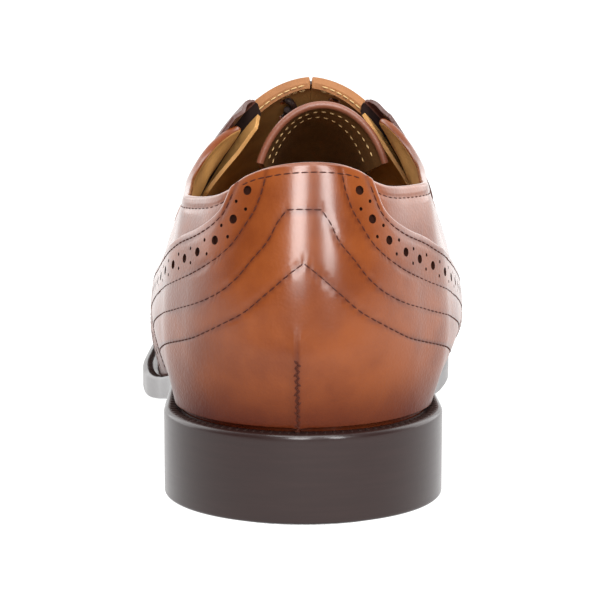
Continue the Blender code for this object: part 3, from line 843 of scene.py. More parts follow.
def punch(piece, punches):
    """Holes cut into a piece by a set of punches, which is then taken away."""
    mesh = bpy.data.meshes.new("punches")
    punches.to_mesh(mesh)
    punches.free()
    cut = piece.modifiers.new("punched holes", "BOOLEAN")
    cut.solver = "EXACT"
    cut.object = put("punches", mesh)
    whole = piece.data
    cut_piece = piece.evaluated_get(bpy.context.evaluated_depsgraph_get())
    piece.data = bpy.data.meshes.new_from_object(cut_piece)
    piece.modifiers.remove(cut)
    bpy.data.meshes.remove(whole)
    bpy.data.meshes.remove(mesh)


EYELET_ROWS = [127.0, 136.0, 145.0, 154.0, 163.0]
EYELET_OUT = 8.0
EYELET_RADIUS = 1.9


def instep_spot(y, out):
    """Spot on the facings, at a distance out from the ridge, minus to the lateral side."""
    girth = math.copysign(run_to(y), out)
    return wall_spot(girth, instep_level(girth, abs(out)))


eyelet_punches = bmesh.new()
for eyelet_y in EYELET_ROWS:
    for side in SIDES:
        eyelet = instep_spot(eyelet_y, side * EYELET_OUT)
        add_punch(eyelet_punches, eyelet, EYELET_RADIUS, 4 * WALL, segments=20, finish=0)
punch(upper, eyelet_punches)

# Sewing: each stitch is a short round of thread, half sunk in the leather
STITCH_PITCH = 2.2
STITCH = (1.95, 0.4, 0.4)
STITCH_SUNK = 0.06


def lengths_along(points):
    """Distance of each point of a path from its start."""
    return np.concatenate([[0.0], np.cumsum(np.linalg.norm(np.diff(points, axis=0), axis=1))])


def spaced(spots, pitch):
    """Matrices at an even pitch along a run of spots."""
    places = np.array([spot.place for spot in spots])
    outwards = np.array([spot.outward for spot in spots])
    lengths = lengths_along(places)
    matrices = []
    for middle in np.arange(pitch / 2, lengths[-1] - pitch / 4, pitch):
        i = min(int(np.searchsorted(lengths, middle)) - 1, len(places) - 2)
        share = (middle - lengths[i]) / (lengths[i + 1] - lengths[i])
        place = places[i] + share * (places[i + 1] - places[i])
        outward = outwards[i] + share * (outwards[i + 1] - outwards[i])
        matrices.append(turned(place - outward * STITCH_SUNK, outward, places[i + 1] - places[i]))
    return matrices


def scatter(name, size, matrices, finish):
    """One piece made of many small rounded lumps of a length, width and height."""
    scale = Matrix.Diagonal((*(Vector(size) * MM), 1.0))
    lumps = bmesh.new()
    for matrix in matrices:
        bmesh.ops.create_icosphere(lumps, subdivisions=2, radius=0.5, matrix=matrix @ scale)
    return add_piece(name, lumps, [finish], sharp=math.pi)


def thread(name, color):
    finish = Finish(name, Roughness=0.7, Specular_IOR_Level=0.1)
    shaded = (*[0.7 * part for part in color[:3]], 1)
    finish.set("Base Color", finish.mix(finish.noise(2500.0), color, shaded))
    return finish


dark_thread = thread("dark_thread", (0.06, 0.015, 0.008, 1))
pale_thread = thread("pale_thread", (0.62, 0.42, 0.2, 1))


def wall_spots(path, lift=0.0):
    """Spots along a path of (girth, level) pairs on the wall."""
    return [wall_spot(girth, level).lifted(lift) for girth, level in path]


COUNTER_TOP_RUN = 19.5
QUARTER_SEAM_END = run_to(103.5)
TOPLINE_POINTS = 160
topline_rows = []
for side in SIDES:
    girths = side * np.linspace(COUNTER_TOP_RUN, QUARTER_SEAM_END, TOPLINE_POINTS)
    path = [(girth, rim_level(girth, TOPLINE_SEAM)) for girth in girths]
    spots = [spot.lifted(collar_flare(spot.place)) for spot in wall_spots(path, -SEAM_DEPTH)]
    topline_rows += spaced(spots, STITCH_PITCH)
scatter("topline_stitches", STITCH, topline_rows, dark_thread)

# The facings' rear edges are sewn through, dark outside, and pale on the lining and on the rolled edge
FACING_SEAM = 2.4
FACING_SEAM_LOW = 82.0
FACING_SEAM_TOP = 1.5
FACING_POINTS = 60
outer_rows = []
lining_rows = []
for side in SIDES:
    girth = side * (FACING_RUN + FACING_SEAM)
    depth = wall_depth(girth)
    low = level_at(girth, FACING_SEAM_LOW)
    high = instep_level(girth, slit_half(line_of(girth)[0]) + FACING_SEAM_TOP)
    path = []
    for level in np.linspace(low, high, FACING_POINTS):
        path.append((girth + side * facing_lean(wall_point(girth, level).z), level))
    outside = wall_spots(path)
    outer_rows += spaced(outside, STITCH_PITCH)
    inside = [Spot(spot.place - spot.outward * depth, -spot.outward) for spot in outside]
    lining_rows += spaced(inside, STITCH_PITCH)
    rolled_edge = []
    for girth, level in path:
        girth -= side * FACING_SEAM
        place, outward = wall_spot(girth, level)
        place = place - outward * FACING_EDGE_SEAM * wall_depth(girth) - Vector((0, FACING_EDGE_ROUND, 0))
        rolled_edge.append(Spot(place, Vector((0, -1, 0))))
    lining_rows += spaced(rolled_edge, STITCH_PITCH)
scatter("facing_stitches", STITCH, outer_rows, dark_thread)
scatter("facing_lining_stitches", STITCH, lining_rows, pale_thread)

# Counter
# A second layer of the same leather round the heel, sewn on with four rows of dark thread. Punched holes
# follow its edge, and the closed back seam of the quarters shows through as a low ridge.
COUNTER_GAP = 0.4
COUNTER_THICKNESS = 1.1
COUNTER_LIFT = 1.3
COUNTER_FACE = COUNTER_GAP + COUNTER_THICKNESS
COUNTER_DROP = 0.5
SEAM_GIRTH = -1.4
EDGE_MARGIN = 1.3
PATH_STEP = 0.4


def path_through(*rows):
    """Closely spaced points along a row of stitching: run round the wall from the back seam, and height."""
    points = np.array(rows, dtype=float)
    lengths = lengths_along(points)
    run_at = Curve(lengths, points[:, 0])
    z_at = Curve(lengths, points[:, 1])
    return np.array([(run_at(s), z_at(s)) for s in np.arange(0, lengths[-1], PATH_STEP)])


# Rows of stitching on each side, from the counter's edge down
edge_path = path_through(
    (17.6, 88.0), (18.5, 84.7), (20.4, 79.8), (22.3, 75.6), (26.5, 71.9), (33.2, 68.8),
    (43.3, 65.8), (50.4, 62.9), (63.2, 58.2), (77.4, 54.0), (93.4, 50.0), (109.4, 45.6),
    (123.4, 39.8), (134.0, 32.6), (142.6, 23.6), (149.4, 11.0),
)
band_path = path_through(
    (10.2, 88.0), (10.5, 85.7), (11.2, 81.6), (12.8, 76.8), (15.3, 72.7), (18.8, 67.9),
    (24.2, 63.7), (32.5, 59.7), (40.0, 57.2), (49.0, 54.4), (58.0, 51.5), (68.0, 48.3),
    (80.0, 44.8), (95.0, 40.4), (110.0, 35.0), (122.0, 29.0), (132.0, 21.0), (140.0, 10.0),
)
high_path = path_through(
    (0.0, 76.9), (3.6, 76.8), (6.2, 74.3), (8.9, 69.2), (12.7, 64.6), (16.6, 59.9),
    (21.7, 56.0), (29.8, 52.5), (41.5, 49.4), (54.5, 46.0), (66.0, 42.6), (80.0, 38.6),
    (95.0, 34.2), (108.0, 29.5), (119.0, 23.0), (128.0, 10.0),
)
low_path = path_through(
    (0.0, 64.2), (3.2, 61.7), (8.8, 56.6), (14.2, 51.9), (19.5, 48.9), (25.0, 46.2), (31.0, 43.8),
    (47.6, 39.7), (68.0, 34.4), (84.0, 30.0), (98.0, 25.2), (109.0, 20.0), (118.0, 10.0),
)
sewn_paths = [edge_path, band_path, high_path, low_path]


def shifted(path, distance):
    """Path moved sideways, up or ahead of the one given."""
    steps = np.gradient(path, axis=0)
    across = np.stack([-steps[:, 1], steps[:, 0]], axis=1)
    return path + distance * across / np.linalg.norm(across, axis=1)[:, None]


def counter_level(girth, z):
    """Level at a height, kept inside the counter's top and bottom edges."""
    lowest = COUNTER_LIFT / bulge_rise(line_of(girth)[0])
    return max(lowest, min(level_at(girth, z), rim_level(girth, COUNTER_DROP)))


# Outline of one side: along the topline from the seam, then down the counter's own edge to the welt
ABOVE_TOPLINE = 95.0
topline = [(run, ABOVE_TOPLINE) for run in np.arange(0, edge_path[0][0] + EDGE_MARGIN, PATH_STEP)]
counter_edge = np.array(topline + shifted(edge_path, EDGE_MARGIN).tolist())
COUNTER_COLUMNS = 180
COUNTER_CROWDING = 1.3
COUNTER_ROWS = 110
COUNTER_RIM_ROWS = 4
COUNTER_INNER_ROWS = 6
COUNTER_LOOP = COUNTER_ROWS + COUNTER_RIM_ROWS + COUNTER_INNER_ROWS


@cache
def counter_ends(column):
    """Bottom and top of one column of the counter, each a girth and a level."""
    share = abs(column - COUNTER_COLUMNS) / COUNTER_COLUMNS
    side = LATERAL if column < COUNTER_COLUMNS else MEDIAL
    last = len(counter_edge) - 1
    place = last * share**COUNTER_CROWDING
    i = min(int(place), last - 1)
    run, z = counter_edge[i] + (place - i) * (counter_edge[i + 1] - counter_edge[i])
    foot = SEAM_GIRTH + side * counter_edge[-1][0] * place / last
    top = SEAM_GIRTH + side * run
    return (foot, counter_level(foot, 0.0)), (top, counter_level(top, z))


BACK_SEAM_GIRTH = -2.7
SEAM_HIGH = 51.0
SEAM_FADE = 10.0
SEAM_RIDGE = 0.75
SEAM_RIDGE_HALF = 1.6
SEAM_CREASE = 0.4
SEAM_CREASE_HALF = 0.35


def back_seam(z):
    """How much of the back seam shows at a height."""
    return ease((SEAM_HIGH - z) / SEAM_FADE)


def sewn_distances(girth, z):
    """Distance from a place on the counter to each row of stitching."""
    spot = np.array((abs(girth - SEAM_GIRTH), z))
    return [math.sqrt(np.min(np.sum((path - spot) ** 2, axis=1))) for path in sewn_paths]


def counter_relief(girth, z):
    """How far the leather stands out: sunk along the stitching, raised over the back seam."""
    sunk = sum(trough(distance, SEAM_DEPTH, SEAM_WIDTH) for distance in sewn_distances(girth, z))
    aside = girth - BACK_SEAM_GIRTH
    ridge = -trough(aside, SEAM_RIDGE, SEAM_RIDGE_HALF) + trough(aside, SEAM_CREASE, SEAM_CREASE_HALF)
    return sunk + back_seam(z) * ridge


@cache
def counter_spot(column, row):
    (foot, foot_level), (top, top_level) = counter_ends(column)
    share = row / (COUNTER_ROWS - 1)
    girth = foot + (top - foot) * share
    level = foot_level + (top_level - foot_level) * share
    return girth, *wall_spot(girth, level)


def counter_place(column, row):
    row = row % COUNTER_LOOP
    if row < COUNTER_ROWS:
        girth, place, outward = counter_spot(column, row)
        return place + outward * (COUNTER_FACE + counter_relief(girth, place.z))
    past_rim = row - COUNTER_ROWS - COUNTER_RIM_ROWS
    if past_rim >= 0:
        share = past_rim / (COUNTER_INNER_ROWS - 1)
        girth, place, outward = counter_spot(column, round((COUNTER_ROWS - 1) * (1 - share)))
        return place + outward * COUNTER_GAP
    girth, place, outward = counter_spot(column, COUNTER_ROWS - 1)
    before = counter_spot(max(column - 1, 0), COUNTER_ROWS - 1)[1]
    after = counter_spot(min(column + 1, 2 * COUNTER_COLUMNS), COUNTER_ROWS - 1)[1]
    beyond = outward.cross(after - before).normalized()
    angle = math.pi * (row - COUNTER_ROWS + 1) / (COUNTER_RIM_ROWS + 1)
    half = COUNTER_THICKNESS / 2
    middle = place + outward * (COUNTER_GAP + half)
    return middle + outward * half * math.cos(angle) + beyond * half * math.sin(angle)


counter_shape = sheet(2 * COUNTER_COLUMNS + 1, COUNTER_LOOP + 1, counter_place)
open_ends = [edge for edge in counter_shape.edges if edge.is_boundary]
bmesh.ops.holes_fill(counter_shape, edges=open_ends, sides=0)
bmesh.ops.recalc_face_normals(counter_shape, faces=counter_shape.faces)
SEAM_SHADE_WIDTH = 0.55
BACK_SHADE_WIDTH = 0.8


def girth_of(place):
    """Distance round the wall of a place on it, behind the heel's spine or beside it."""
    aside = place.x - last_center(max(place.y, HEEL_CENTER))
    bearing = math.atan2(abs(aside), max(0.0, HEEL_CENTER - place.y))
    run = HEEL_ARC * bearing / (math.pi / 2) + max(0.0, place.y - HEEL_CENTER)
    return math.copysign(run, aside)


def seam_shade(place):
    """Dark line along each seam: partly the sewn line's own dark tone, partly painted shade in the groove
    that the thread pulls and in the back seam's crease.
    """
    girth = girth_of(place)
    sewn = -trough(min(sewn_distances(girth, place.z)), 1.0, SEAM_SHADE_WIDTH)
    closed = -back_seam(place.z) * trough(girth - BACK_SEAM_GIRTH, 1.0, BACK_SHADE_WIDTH)
    return max(sewn, closed)


paint(counter_shape, "burnish", burnish)
# Dark seam lines, partly painted shade in the stitch grooves
paint(counter_shape, "seam", seam_shade)
# Inside of the punched holes, near black: partly the dark underlay, partly painted shade in the holes
HOLE_UNDERLAY_AND_SHADE = (0.022, 0.006, 0.003, 1)
punched = Finish("punched_hole_underlay_and_shade", Base_Color=HOLE_UNDERLAY_AND_SHADE, Roughness=0.9, Specular_IOR_Level=0.1)
counter = add_piece("counter_layer", counter_shape, [leather, punched], ["counter"])

# Punched band: a large hole, then a pair of small ones, over and over between the two upper seams
HOLE_START = 6.8
HOLE_PITCH = 7.8
HOLE_RADIUS = 1.15
HOLE_DEPTH = 0.85
PIN_RADIUS = 0.45
PIN_ASIDE = 1.8
HOLES_LOWEST = 20.0
LARGE_HOLE = [(0.0, HOLE_RADIUS)]
PAIR_OF_PINS = [(-PIN_ASIDE, PIN_RADIUS), (PIN_ASIDE, PIN_RADIUS)]


def counter_spots(path, side, lift):
    """Spots on the counter's face along a path of (run, height) points."""
    girths = [SEAM_GIRTH + side * run for run, z in path]
    return wall_spots([(girth, level_at(girth, z)) for girth, (run, z) in zip(girths, path)], lift)


nearest = [np.argmin(np.sum((band_path - point) ** 2, axis=1)) for point in edge_path]
band_middle = (edge_path + band_path[nearest]) / 2
middle_lengths = lengths_along(band_middle)
hole_punches = bmesh.new()
for number, length in enumerate(np.arange(HOLE_START, middle_lengths[-1], HOLE_PITCH / 2)):
    for aside, radius in PAIR_OF_PINS if number % 2 else LARGE_HOLE:
        row = shifted(band_middle, aside)
        run = np.interp(length, middle_lengths, row[:, 0])
        z = np.interp(length, middle_lengths, row[:, 1])
        if z < HOLES_LOWEST:
            continue
        for side in SIDES:
            [spot] = counter_spots([(run, z)], side, COUNTER_FACE)
            add_punch(hole_punches, spot, radius, 2 * HOLE_DEPTH, segments=14, finish=1)
punch(counter, hole_punches)

# Each stitch lies part of the way down in the trough that its thread pulls
COUNTER_SEWN_LOW = 3.0
STITCH_DOWN = 0.4
BACK_POINTS = 60
counter_rows = []
for path in sewn_paths:
    for side in SIDES:
        kept = []
        for run, z in path:
            girth = SEAM_GIRTH + side * run
            place = wall_point(girth, level_at(girth, z))
            under_rim = z < rim_height(place.y) + COLLAR_ROLL * place.x - TOPLINE_SEAM
            if under_rim and z > seat(place.y) + WELT_THICKNESS + COUNTER_SEWN_LOW:
                kept.append((run, z))
        sewn_spots = counter_spots(kept, side, COUNTER_FACE - STITCH_DOWN * SEAM_DEPTH)
        counter_rows += spaced(sewn_spots, STITCH_PITCH)
edge_run = edge_path[0][0]
back_girths = np.linspace(SEAM_GIRTH - edge_run, SEAM_GIRTH + edge_run, BACK_POINTS)
back_path = [(girth, rim_level(girth, TOPLINE_SEAM)) for girth in back_girths]
counter_rows += spaced(wall_spots(back_path, COUNTER_FACE), STITCH_PITCH)
scatter("counter_stitches", STITCH, counter_rows, dark_thread)

# The back seam is oversewn with short stitches that zigzag across it
SEAM_ZIGZAG = 0.4
BACK_STITCH_LOW = 22.5
BACK_STITCH_RISE = 0.8
BACK_STITCH_PITCH = 0.9
BACK_STITCH = (1.3, 0.6, 0.45)
seam_path = []
for number, z in enumerate(np.arange(BACK_STITCH_LOW, SEAM_HIGH - SEAM_FADE, BACK_STITCH_RISE)):
    girth = BACK_SEAM_GIRTH + SEAM_ZIGZAG * (-1) ** number
    seam_path.append((girth, level_at(girth, z)))
seam_spots = wall_spots(seam_path, COUNTER_FACE + SEAM_RIDGE - STITCH_DOWN * SEAM_CREASE)
seam_rows = spaced(seam_spots, BACK_STITCH_PITCH)
scatter("back_seam_stitches", BACK_STITCH, seam_rows, dark_thread)

# Tongue
# A flap of leather under the facings, lined, with a bound edge and two rows of pale stitching along it.
# Its free end flares and stands in the collar; its front end is caught under the throat.
TONGUE_BACK = 108.0
TONGUE_FRONT = 166.0
TONGUE_ARCH = 28.0
TONGUE_SPREAD = math.radians(68)
TONGUE_THICKNESS = 2.2
TONGUE_COLUMNS = 61
TONGUE_ROWS = 50
TONGUE_CROWDING = 1.4
TONGUE_RIM_ROWS = 9
TONGUE_LOOP = 2 * TONGUE_ROWS + TONGUE_RIM_ROWS
TONGUE_BEAD = 1.2
TURN_STEP = 0.01
BACK_STEP = 0.5

# Crown of the arch, across and up, and half width along the shoe
crown_x, crown_z, tongue_half = curves(
    (TONGUE_BACK, 6.7, 95.9, 20.5),
    (112, 6.0, 94.2, 18.6),
    (117, 5.4, 92.3, 17.0),
    (123, 4.8, 90.2, 16.4),
    (130, 4.2, 87.6, 16.2),
    (150, 3.3, 79.2, 17.0),
    (TONGUE_FRONT, 3.0, 70.8, 17.5),
)


def tongue_point(turn, y):
    x = crown_x(y) + tongue_half(y) * math.sin(turn)
    return Vector((x, y, crown_z(y) - TONGUE_ARCH * (1 - math.cos(turn))))


def tongue_frame(turn, y):
    """Point of the tongue's upper face, the direction out of it and the direction to its free end."""
    place = tongue_point(turn, y)
    across = tongue_point(turn + TURN_STEP, y) - tongue_point(turn - TURN_STEP, y)
    back = place - tongue_point(turn, y + BACK_STEP)
    return place, back.cross(across).normalized(), back.normalized()


def tongue_place(column, row):
    row = row % TONGUE_LOOP
    on_edge = column in (0, TONGUE_COLUMNS - 1)
    inner_column = min(max(column, 1), TONGUE_COLUMNS - 2)
    turn = TONGUE_SPREAD * (2 * (inner_column - 1) / (TONGUE_COLUMNS - 3) - 1)
    step = min(row, TONGUE_ROWS - 1, TONGUE_LOOP - 1 - row)
    share = (1 - step / (TONGUE_ROWS - 1)) ** TONGUE_CROWDING
    y = TONGUE_BACK + (TONGUE_FRONT - TONGUE_BACK) * share
    place, outward, back = tongue_frame(turn, y)
    middle = place - outward * TONGUE_THICKNESS / 2
    angle = 0.0
    if row >= TONGUE_ROWS:
        angle = math.pi * min(1.0, (row - TONGUE_ROWS + 1) / (TONGUE_RIM_ROWS + 1))
    half = 0.0 if on_edge else TONGUE_THICKNESS / 2
    bead = TONGUE_BEAD * math.sin(angle)
    return middle + outward * half * math.cos(angle) + back * bead


def tongue_finish(column, row):
    """Binding outside and round the rim, lining inside."""
    return int(row >= TONGUE_ROWS + TONGUE_RIM_ROWS - 1)


def thin_leather(name, light, dark, blotches, rough, uneven, grain, depth, **constants):
    """Thin leather in two shades, with an uneven sheen and a fine grain."""
    finish = Finish(name, **constants)
    finish.set("Base Color", finish.mix(finish.noise(blotches), light, dark))
    finish.set("Roughness", rough + uneven * finish.noise(300.0))
    finish.bump(finish.cells(grain), depth)
    return finish


tongue_shape = sheet(TONGUE_COLUMNS, TONGUE_LOOP + 1, tongue_place, tongue_finish)
bmesh.ops.recalc_face_normals(tongue_shape, faces=tongue_shape.faces)
binding = thin_leather(
    "tongue_binding",
    light=(0.22, 0.075, 0.04, 1),
    dark=(0.14, 0.045, 0.024, 1),
    blotches=90.0,
    rough=0.38,
    uneven=0.12,
    grain=1400.0,
    depth=0.05,
    Coat_Weight=0.15,
    Coat_Roughness=0.3,
)
# The tongue's lining is a much darker copy of the lining leather: painted shade inside the tongue's arch
tongue_lining_painted_shade = lining_leather("tongue_lining_painted_shade", pale=(0.11, 0.05, 0.015, 1), deep=(0.07, 0.032, 0.009, 1))
add_piece("tongue_flap", tongue_shape, [binding, tongue_lining_painted_shade], ["tongue"])

TONGUE_SEAMS = [111.2, 115.6]
TONGUE_SEAM_SPREAD = math.radians(63)
TONGUE_PITCH = 2.4
TONGUE_POINTS = 80
TONGUE_STITCH = (1.5, 0.55, 0.5)
tongue_rows = []
for seam_y in TONGUE_SEAMS:
    spots = []
    for turn in np.linspace(-TONGUE_SEAM_SPREAD, TONGUE_SEAM_SPREAD, TONGUE_POINTS):
        place, outward, back = tongue_frame(turn, seam_y)
        spots.append(Spot(place - outward * TONGUE_THICKNESS, -outward))
    tongue_rows += spaced(spots, TONGUE_PITCH)
scatter("tongue_stitches", TONGUE_STITCH, tongue_rows, pale_thread)

# Gores
# A strip of elastic on each side, folded round the facing's rear edge and sewn into the foot of the slot.
# Its outer leaf is faced with thin leather; its inner leaf, inside the quarter's tip, is lined.
GORE_THICKNESS = 1.2
GORE_CLEAR = 0.2
GORE_ROUND = 0.35
GORE_COLUMNS = 46
GORE_ROWS = 16
GORE_END = 8
GORE_FOLD = 0.5
GORE_LINED = 0.78

# Round the fold from the outer leaf to the inner: place along the shoe, lift off the wall, how far it is
# drawn in with the tip, and its lower and upper edge
gore_y, gore_lift, gore_drawn, gore_low, gore_top = curves(
    (0, 103.8, 1.5, 0.9, 85.2, 91.2),
    (1, 107.0, 1.4, 0.8, 82.6, 92.4),
    (2, 111.0, 1.0, 0.5, 77.5, 94.0),
    (3, 114.0, 0.5, 0.2, 70.0, 95.1),
    (4, 116.0, -0.5, 0, 65.5, 95.8),
    (5, 116.5, -2.0, 0, 64.5, 95.6),
    (6, 115.4, -3.2, 1, 65.0, 94.8),
    (7, 112.6, -3.6, 1, 68.0, 93.2),
    (GORE_END, 109.0, -3.7, 1, 72.0, 91.0),
)


def gore_place(side):
    def place(column, row):
        step = GORE_END * column / (GORE_COLUMNS - 1)
        z = gore_low(step) + (gore_top(step) - gore_low(step)) * row / (GORE_ROWS - 1)
        y = gore_y(step)
        girth = side * run_to(y)
        point, outward, up = wall_frame(girth, level_at(girth, z), drawn=False)
        point = point + outward * (gore_lift(step) - gore_drawn(step) * GORE_CLEAR * TIP_DRAW[side])
        point.x -= side * gore_drawn(step) * tip_draw(side, y, z)
        return point

    return place


def gore_finish(column, row):
    """Leather outside, bare elastic in the fold, near black as partly painted shade, lining on the inner
    leaf.
    """
    share = column / GORE_COLUMNS
    return int(share > GORE_FOLD) + int(share > GORE_LINED)


# The bare elastic is near black: partly its own dark colour, partly painted shade inside the quarter's tip
ELASTIC_DARK_AND_SHADE = (0.012, 0.005, 0.004, 1)
elastic = Finish("gore_elastic_and_painted_shade", Base_Color=ELASTIC_DARK_AND_SHADE, Roughness=0.9, Specular_IOR_Level=0.15)
gore_leather = thin_leather(
    "gore_leather",
    light=(0.08, 0.022, 0.013, 1),
    dark=(0.05, 0.013, 0.008, 1),
    blotches=80.0,
    rough=0.4,
    uneven=0.15,
    grain=1500.0,
    depth=0.06,
    Coat_Weight=0.1,
    Coat_Roughness=0.35,
)
for gore_name, gore_side in (("gore_lateral", LATERAL), ("gore_medial", MEDIAL)):
    gore_shape = sheet(GORE_COLUMNS, GORE_ROWS, gore_place(gore_side), gore_finish)
    gore_layers = [gore_leather, elastic, lining]
    gore = add_piece(gore_name + "_strip", gore_shape, gore_layers, [gore_name])
    thickness = gore.modifiers.new("thickness", "SOLIDIFY")
    thickness.thickness = GORE_THICKNESS * MM
    thickness.offset = 0.0
    round_edges(gore, GORE_ROUND)

# Lace
# A round waxed cord in straight bars over the closed facings. It passes down through each eyelet and
# along the lining to the next bar, and its two ends stop at the top eyelets.
LACE_RADIUS = 1.0
LINING_LIFT = -3.6
LINING_SAG = 0.4
LINING_START = 1.0
END_SHORT = 2.6

# Half a bar from its eyelet to the middle: distance out from the ridge, and lift off the leather
HALF_BAR = [(8.0, -1.8), (8.0, -0.2), (7.6, 0.9), (6.4, 1.5), (4.2, 1.5), (2.0, 1.5)]

# The bars in the order in which the cord makes them, and how far inside the eyelets its next run lies
LaceBar = namedtuple("LaceBar", "row start inside")
LACE_BARS = [
    LaceBar(1, LATERAL, 2.4),
    LaceBar(3, MEDIAL, 1.4),
    LaceBar(4, LATERAL, -2.4),
    LaceBar(2, MEDIAL, 2.4),
    LaceBar(0, LATERAL, 0.0),
]


def lace_point(y, out, lift):
    return instep_spot(y, out).lifted(lift).place


lace_points = []
for y in (EYELET_ROWS[0] + END_SHORT, EYELET_ROWS[1] - LINING_START):
    lace_points.append(lace_point(y, LATERAL * EYELET_OUT, LINING_LIFT))
for bar, next_bar in zip(LACE_BARS, LACE_BARS[1:] + [None]):
    bar_y = EYELET_ROWS[bar.row]
    lace_points += [lace_point(bar_y, bar.start * out, lift) for out, lift in HALF_BAR]
    lace_points += [lace_point(bar_y, -bar.start * out, lift) for out, lift in reversed(HALF_BAR)]
    if next_bar:
        next_y = EYELET_ROWS[next_bar.row]
        onward = math.copysign(LINING_START, next_y - bar_y)
        out = next_bar.start * (EYELET_OUT - bar.inside)
        lace_points.append(lace_point(bar_y + onward, out, LINING_LIFT))
        lace_points.append(lace_point((bar_y + next_y) / 2, out, LINING_LIFT - LINING_SAG))
        lace_points.append(lace_point(next_y - onward, out, LINING_LIFT))

lace_curve = bpy.data.curves.new("lace", "CURVE")
lace_curve.dimensions = "3D"
lace_curve.bevel_depth = LACE_RADIUS * MM
lace_curve.bevel_resolution = 3
lace_curve.use_fill_caps = True
lace_run = lace_curve.splines.new("NURBS")
lace_run.points.add(len(lace_points) - 1)
for knot, place in zip(lace_run.points, lace_points):
    knot.co = (*world(place), 1.0)
lace_run.order_u = 3
lace_run.resolution_u = 5
lace_run.use_endpoint_u = True
cord = Finish("lace_cord", Roughness=0.5)
cord.set("Base Color", cord.mix(cord.noise(500.0), (0.04, 0.018, 0.013, 1), (0.018, 0.009, 0.007, 1)))
cord.bump(cord.cells(1800.0), 0.15)
lace_guide = put("lace_guide", lace_curve)
drawn_lace = lace_guide.evaluated_get(bpy.context.evaluated_depsgraph_get())
lace_shape = bmesh.new()
lace_shape.from_mesh(drawn_lace.to_mesh())
bpy.data.objects.remove(lace_guide)
bpy.data.curves.remove(lace_curve)
bmesh.ops.remove_doubles(lace_shape, verts=lace_shape.verts, dist=1e-6)
bar_names = [f"lace_bar_{number + 1}" for number in range(len(EYELET_ROWS))]
add_piece("lace", lace_shape, [cord], bar_names)

# Welt
# A strip of sole leather stitched round the foot of the upper, dyed and waxed dark with the sole's edge.
# Its rim is rounded, and a hot wheel has marked its ledge with close notches.
WELT_TOP = GAP + WELT_THICKNESS
WELT_LINES = np.linspace(-HALF_GIRTH, HALF_GIRTH, 701)

# Section of the welt: inset from its outer edge, None for its inner edge, and rise above the outsole
WELT_RIM = [(0.0, 0.0), (0.0, 1.0), (0.1, 1.45), (0.35, 1.85), (0.75, 2.1), (1.3, 2.2)]
WELT_PROFILE = [(None, 0.0)] + WELT_RIM + [(None, WELT_TOP), (None, 0.0)]


@cache
def welt_reach(column):
    """Spine point, direction across and along, and the inner and outer edge of the welt on one line."""
    girth = WELT_LINES[column % (len(WELT_LINES) - 1)]
    spine_y, bearing = line_of(girth)
    across = math.copysign(math.sin(math.radians(bearing)), girth)
    along = -math.cos(math.radians(bearing))
    outer = reach(SOLE, across, along, spine_y)
    inner = reach(FEATHER, across, along, spine_y) + GAP
    return spine_y, across, along, inner, outer


def welt_point(column, inset, rise):
    """Point of the welt, so far in from its outer edge and above the outsole."""
    spine_y, across, along, inner, outer = welt_reach(column)
    radius = inner if inset is None else max(inner, outer - inset)
    y = spine_y + along * radius
    return Vector((last_center(spine_y) + across * radius, y, seat(y) + rise))


welt_shape = sheet(
    len(WELT_LINES), len(WELT_PROFILE), lambda column, row: welt_point(column, *WELT_PROFILE[row])
)
bmesh.ops.recalc_face_normals(welt_shape, faces=welt_shape.faces)
edge_wax = Finish("waxed_edge", Coat_Weight=0.4, Coat_Roughness=0.14, Specular_IOR_Level=0.2)
streak = edge_wax.ramp(edge_wax.noise(60.0, 5.0, (1, 1, 14)), 0.35, 0.75)
edge_wax.set("Base Color", edge_wax.mix(streak, (0.016, 0.0068, 0.006, 1), (0.019, 0.0083, 0.0073, 1)))
edge_wax.set("Roughness", 0.34 + 0.05 * edge_wax.noise(150.0, 5.0, (1, 1, 9)))
edge_wax.bump(edge_wax.noise(500.0) + 0.5 * edge_wax.noise(120.0, 5.0, (1, 1, 12)), 0.012)
add_piece("welt_strip", welt_shape, [edge_wax], ["welt"])

NOTCH_INSET = 2.4
NOTCH_PITCH = 2.2
NOTCH = (0.9, 2.2, 0.7)
notch_spots = [Spot(welt_point(i, NOTCH_INSET, WELT_TOP), (0, 0, 1)) for i in range(len(WELT_LINES))]
welt_thread = thread("welt_thread", (0.02, 0.009, 0.007, 1))
scatter("welt_notches", NOTCH, spaced(notch_spots, NOTCH_PITCH), welt_thread)

# Outsole
# One layer of sole leather from heel to toe, its edge trimmed flush with the welt and waxed with it.
# The tread is flat under the ball and lifts at the arch and the toe.
OUTSOLE_ROUND = 0.6
HEEL_LENGTH = 74.0
FACES_DOWN = -0.7
UPRIGHT = 0.5


def round_lower_edge(shape, width, start):
    """Rounds the edge between a slab's sides and its underside, from a place along the shoe to its toe."""
    lower = []
    for edge in shape.edges:
        lowest, highest = sorted(face.normal.z for face in edge.link_faces)
        ahead = all(vert.co.y > SHOE_BACK.y + start * MM for vert in edge.verts)
        if ahead and lowest < FACES_DOWN and abs(highest) < UPRIGHT:
            lower.append(edge)
    bmesh.ops.bevel(
        shape,
        geom=lower,
        offset=width * MM,
        offset_type="OFFSET",
        segments=4,
        profile=0.5,
        affect="EDGES",
        material=-1,
    )


outsole_shape = slab(SOLE, SOLE_LENGTH, tread, OUTSOLE_THICKNESS, columns=21, rows=241)
round_lower_edge(outsole_shape, OUTSOLE_ROUND, HEEL_LENGTH)
add_piece("outsole_layer", outsole_shape, [edge_wax], ["outsole"])

# Heel
# A block of stacked leather under the outsole, trimmed and waxed as one edge with it. Its breast is
# hollowed towards the heel.
HEEL_HEIGHT = 15.8
BREAST_HOLLOW = 3.5
HEEL_BASE_ROUND = 0.9
BEHIND_HEEL = -1.0
heel_shape = slab(
    SOLE, HEEL_LENGTH, lambda y: 0.0, HEEL_HEIGHT, columns=21, rows=141, hollow=BREAST_HOLLOW
)
round_lower_edge(heel_shape, HEEL_BASE_ROUND, BEHIND_HEEL)
add_piece("heel_block", heel_shape, [edge_wax], ["heel"])
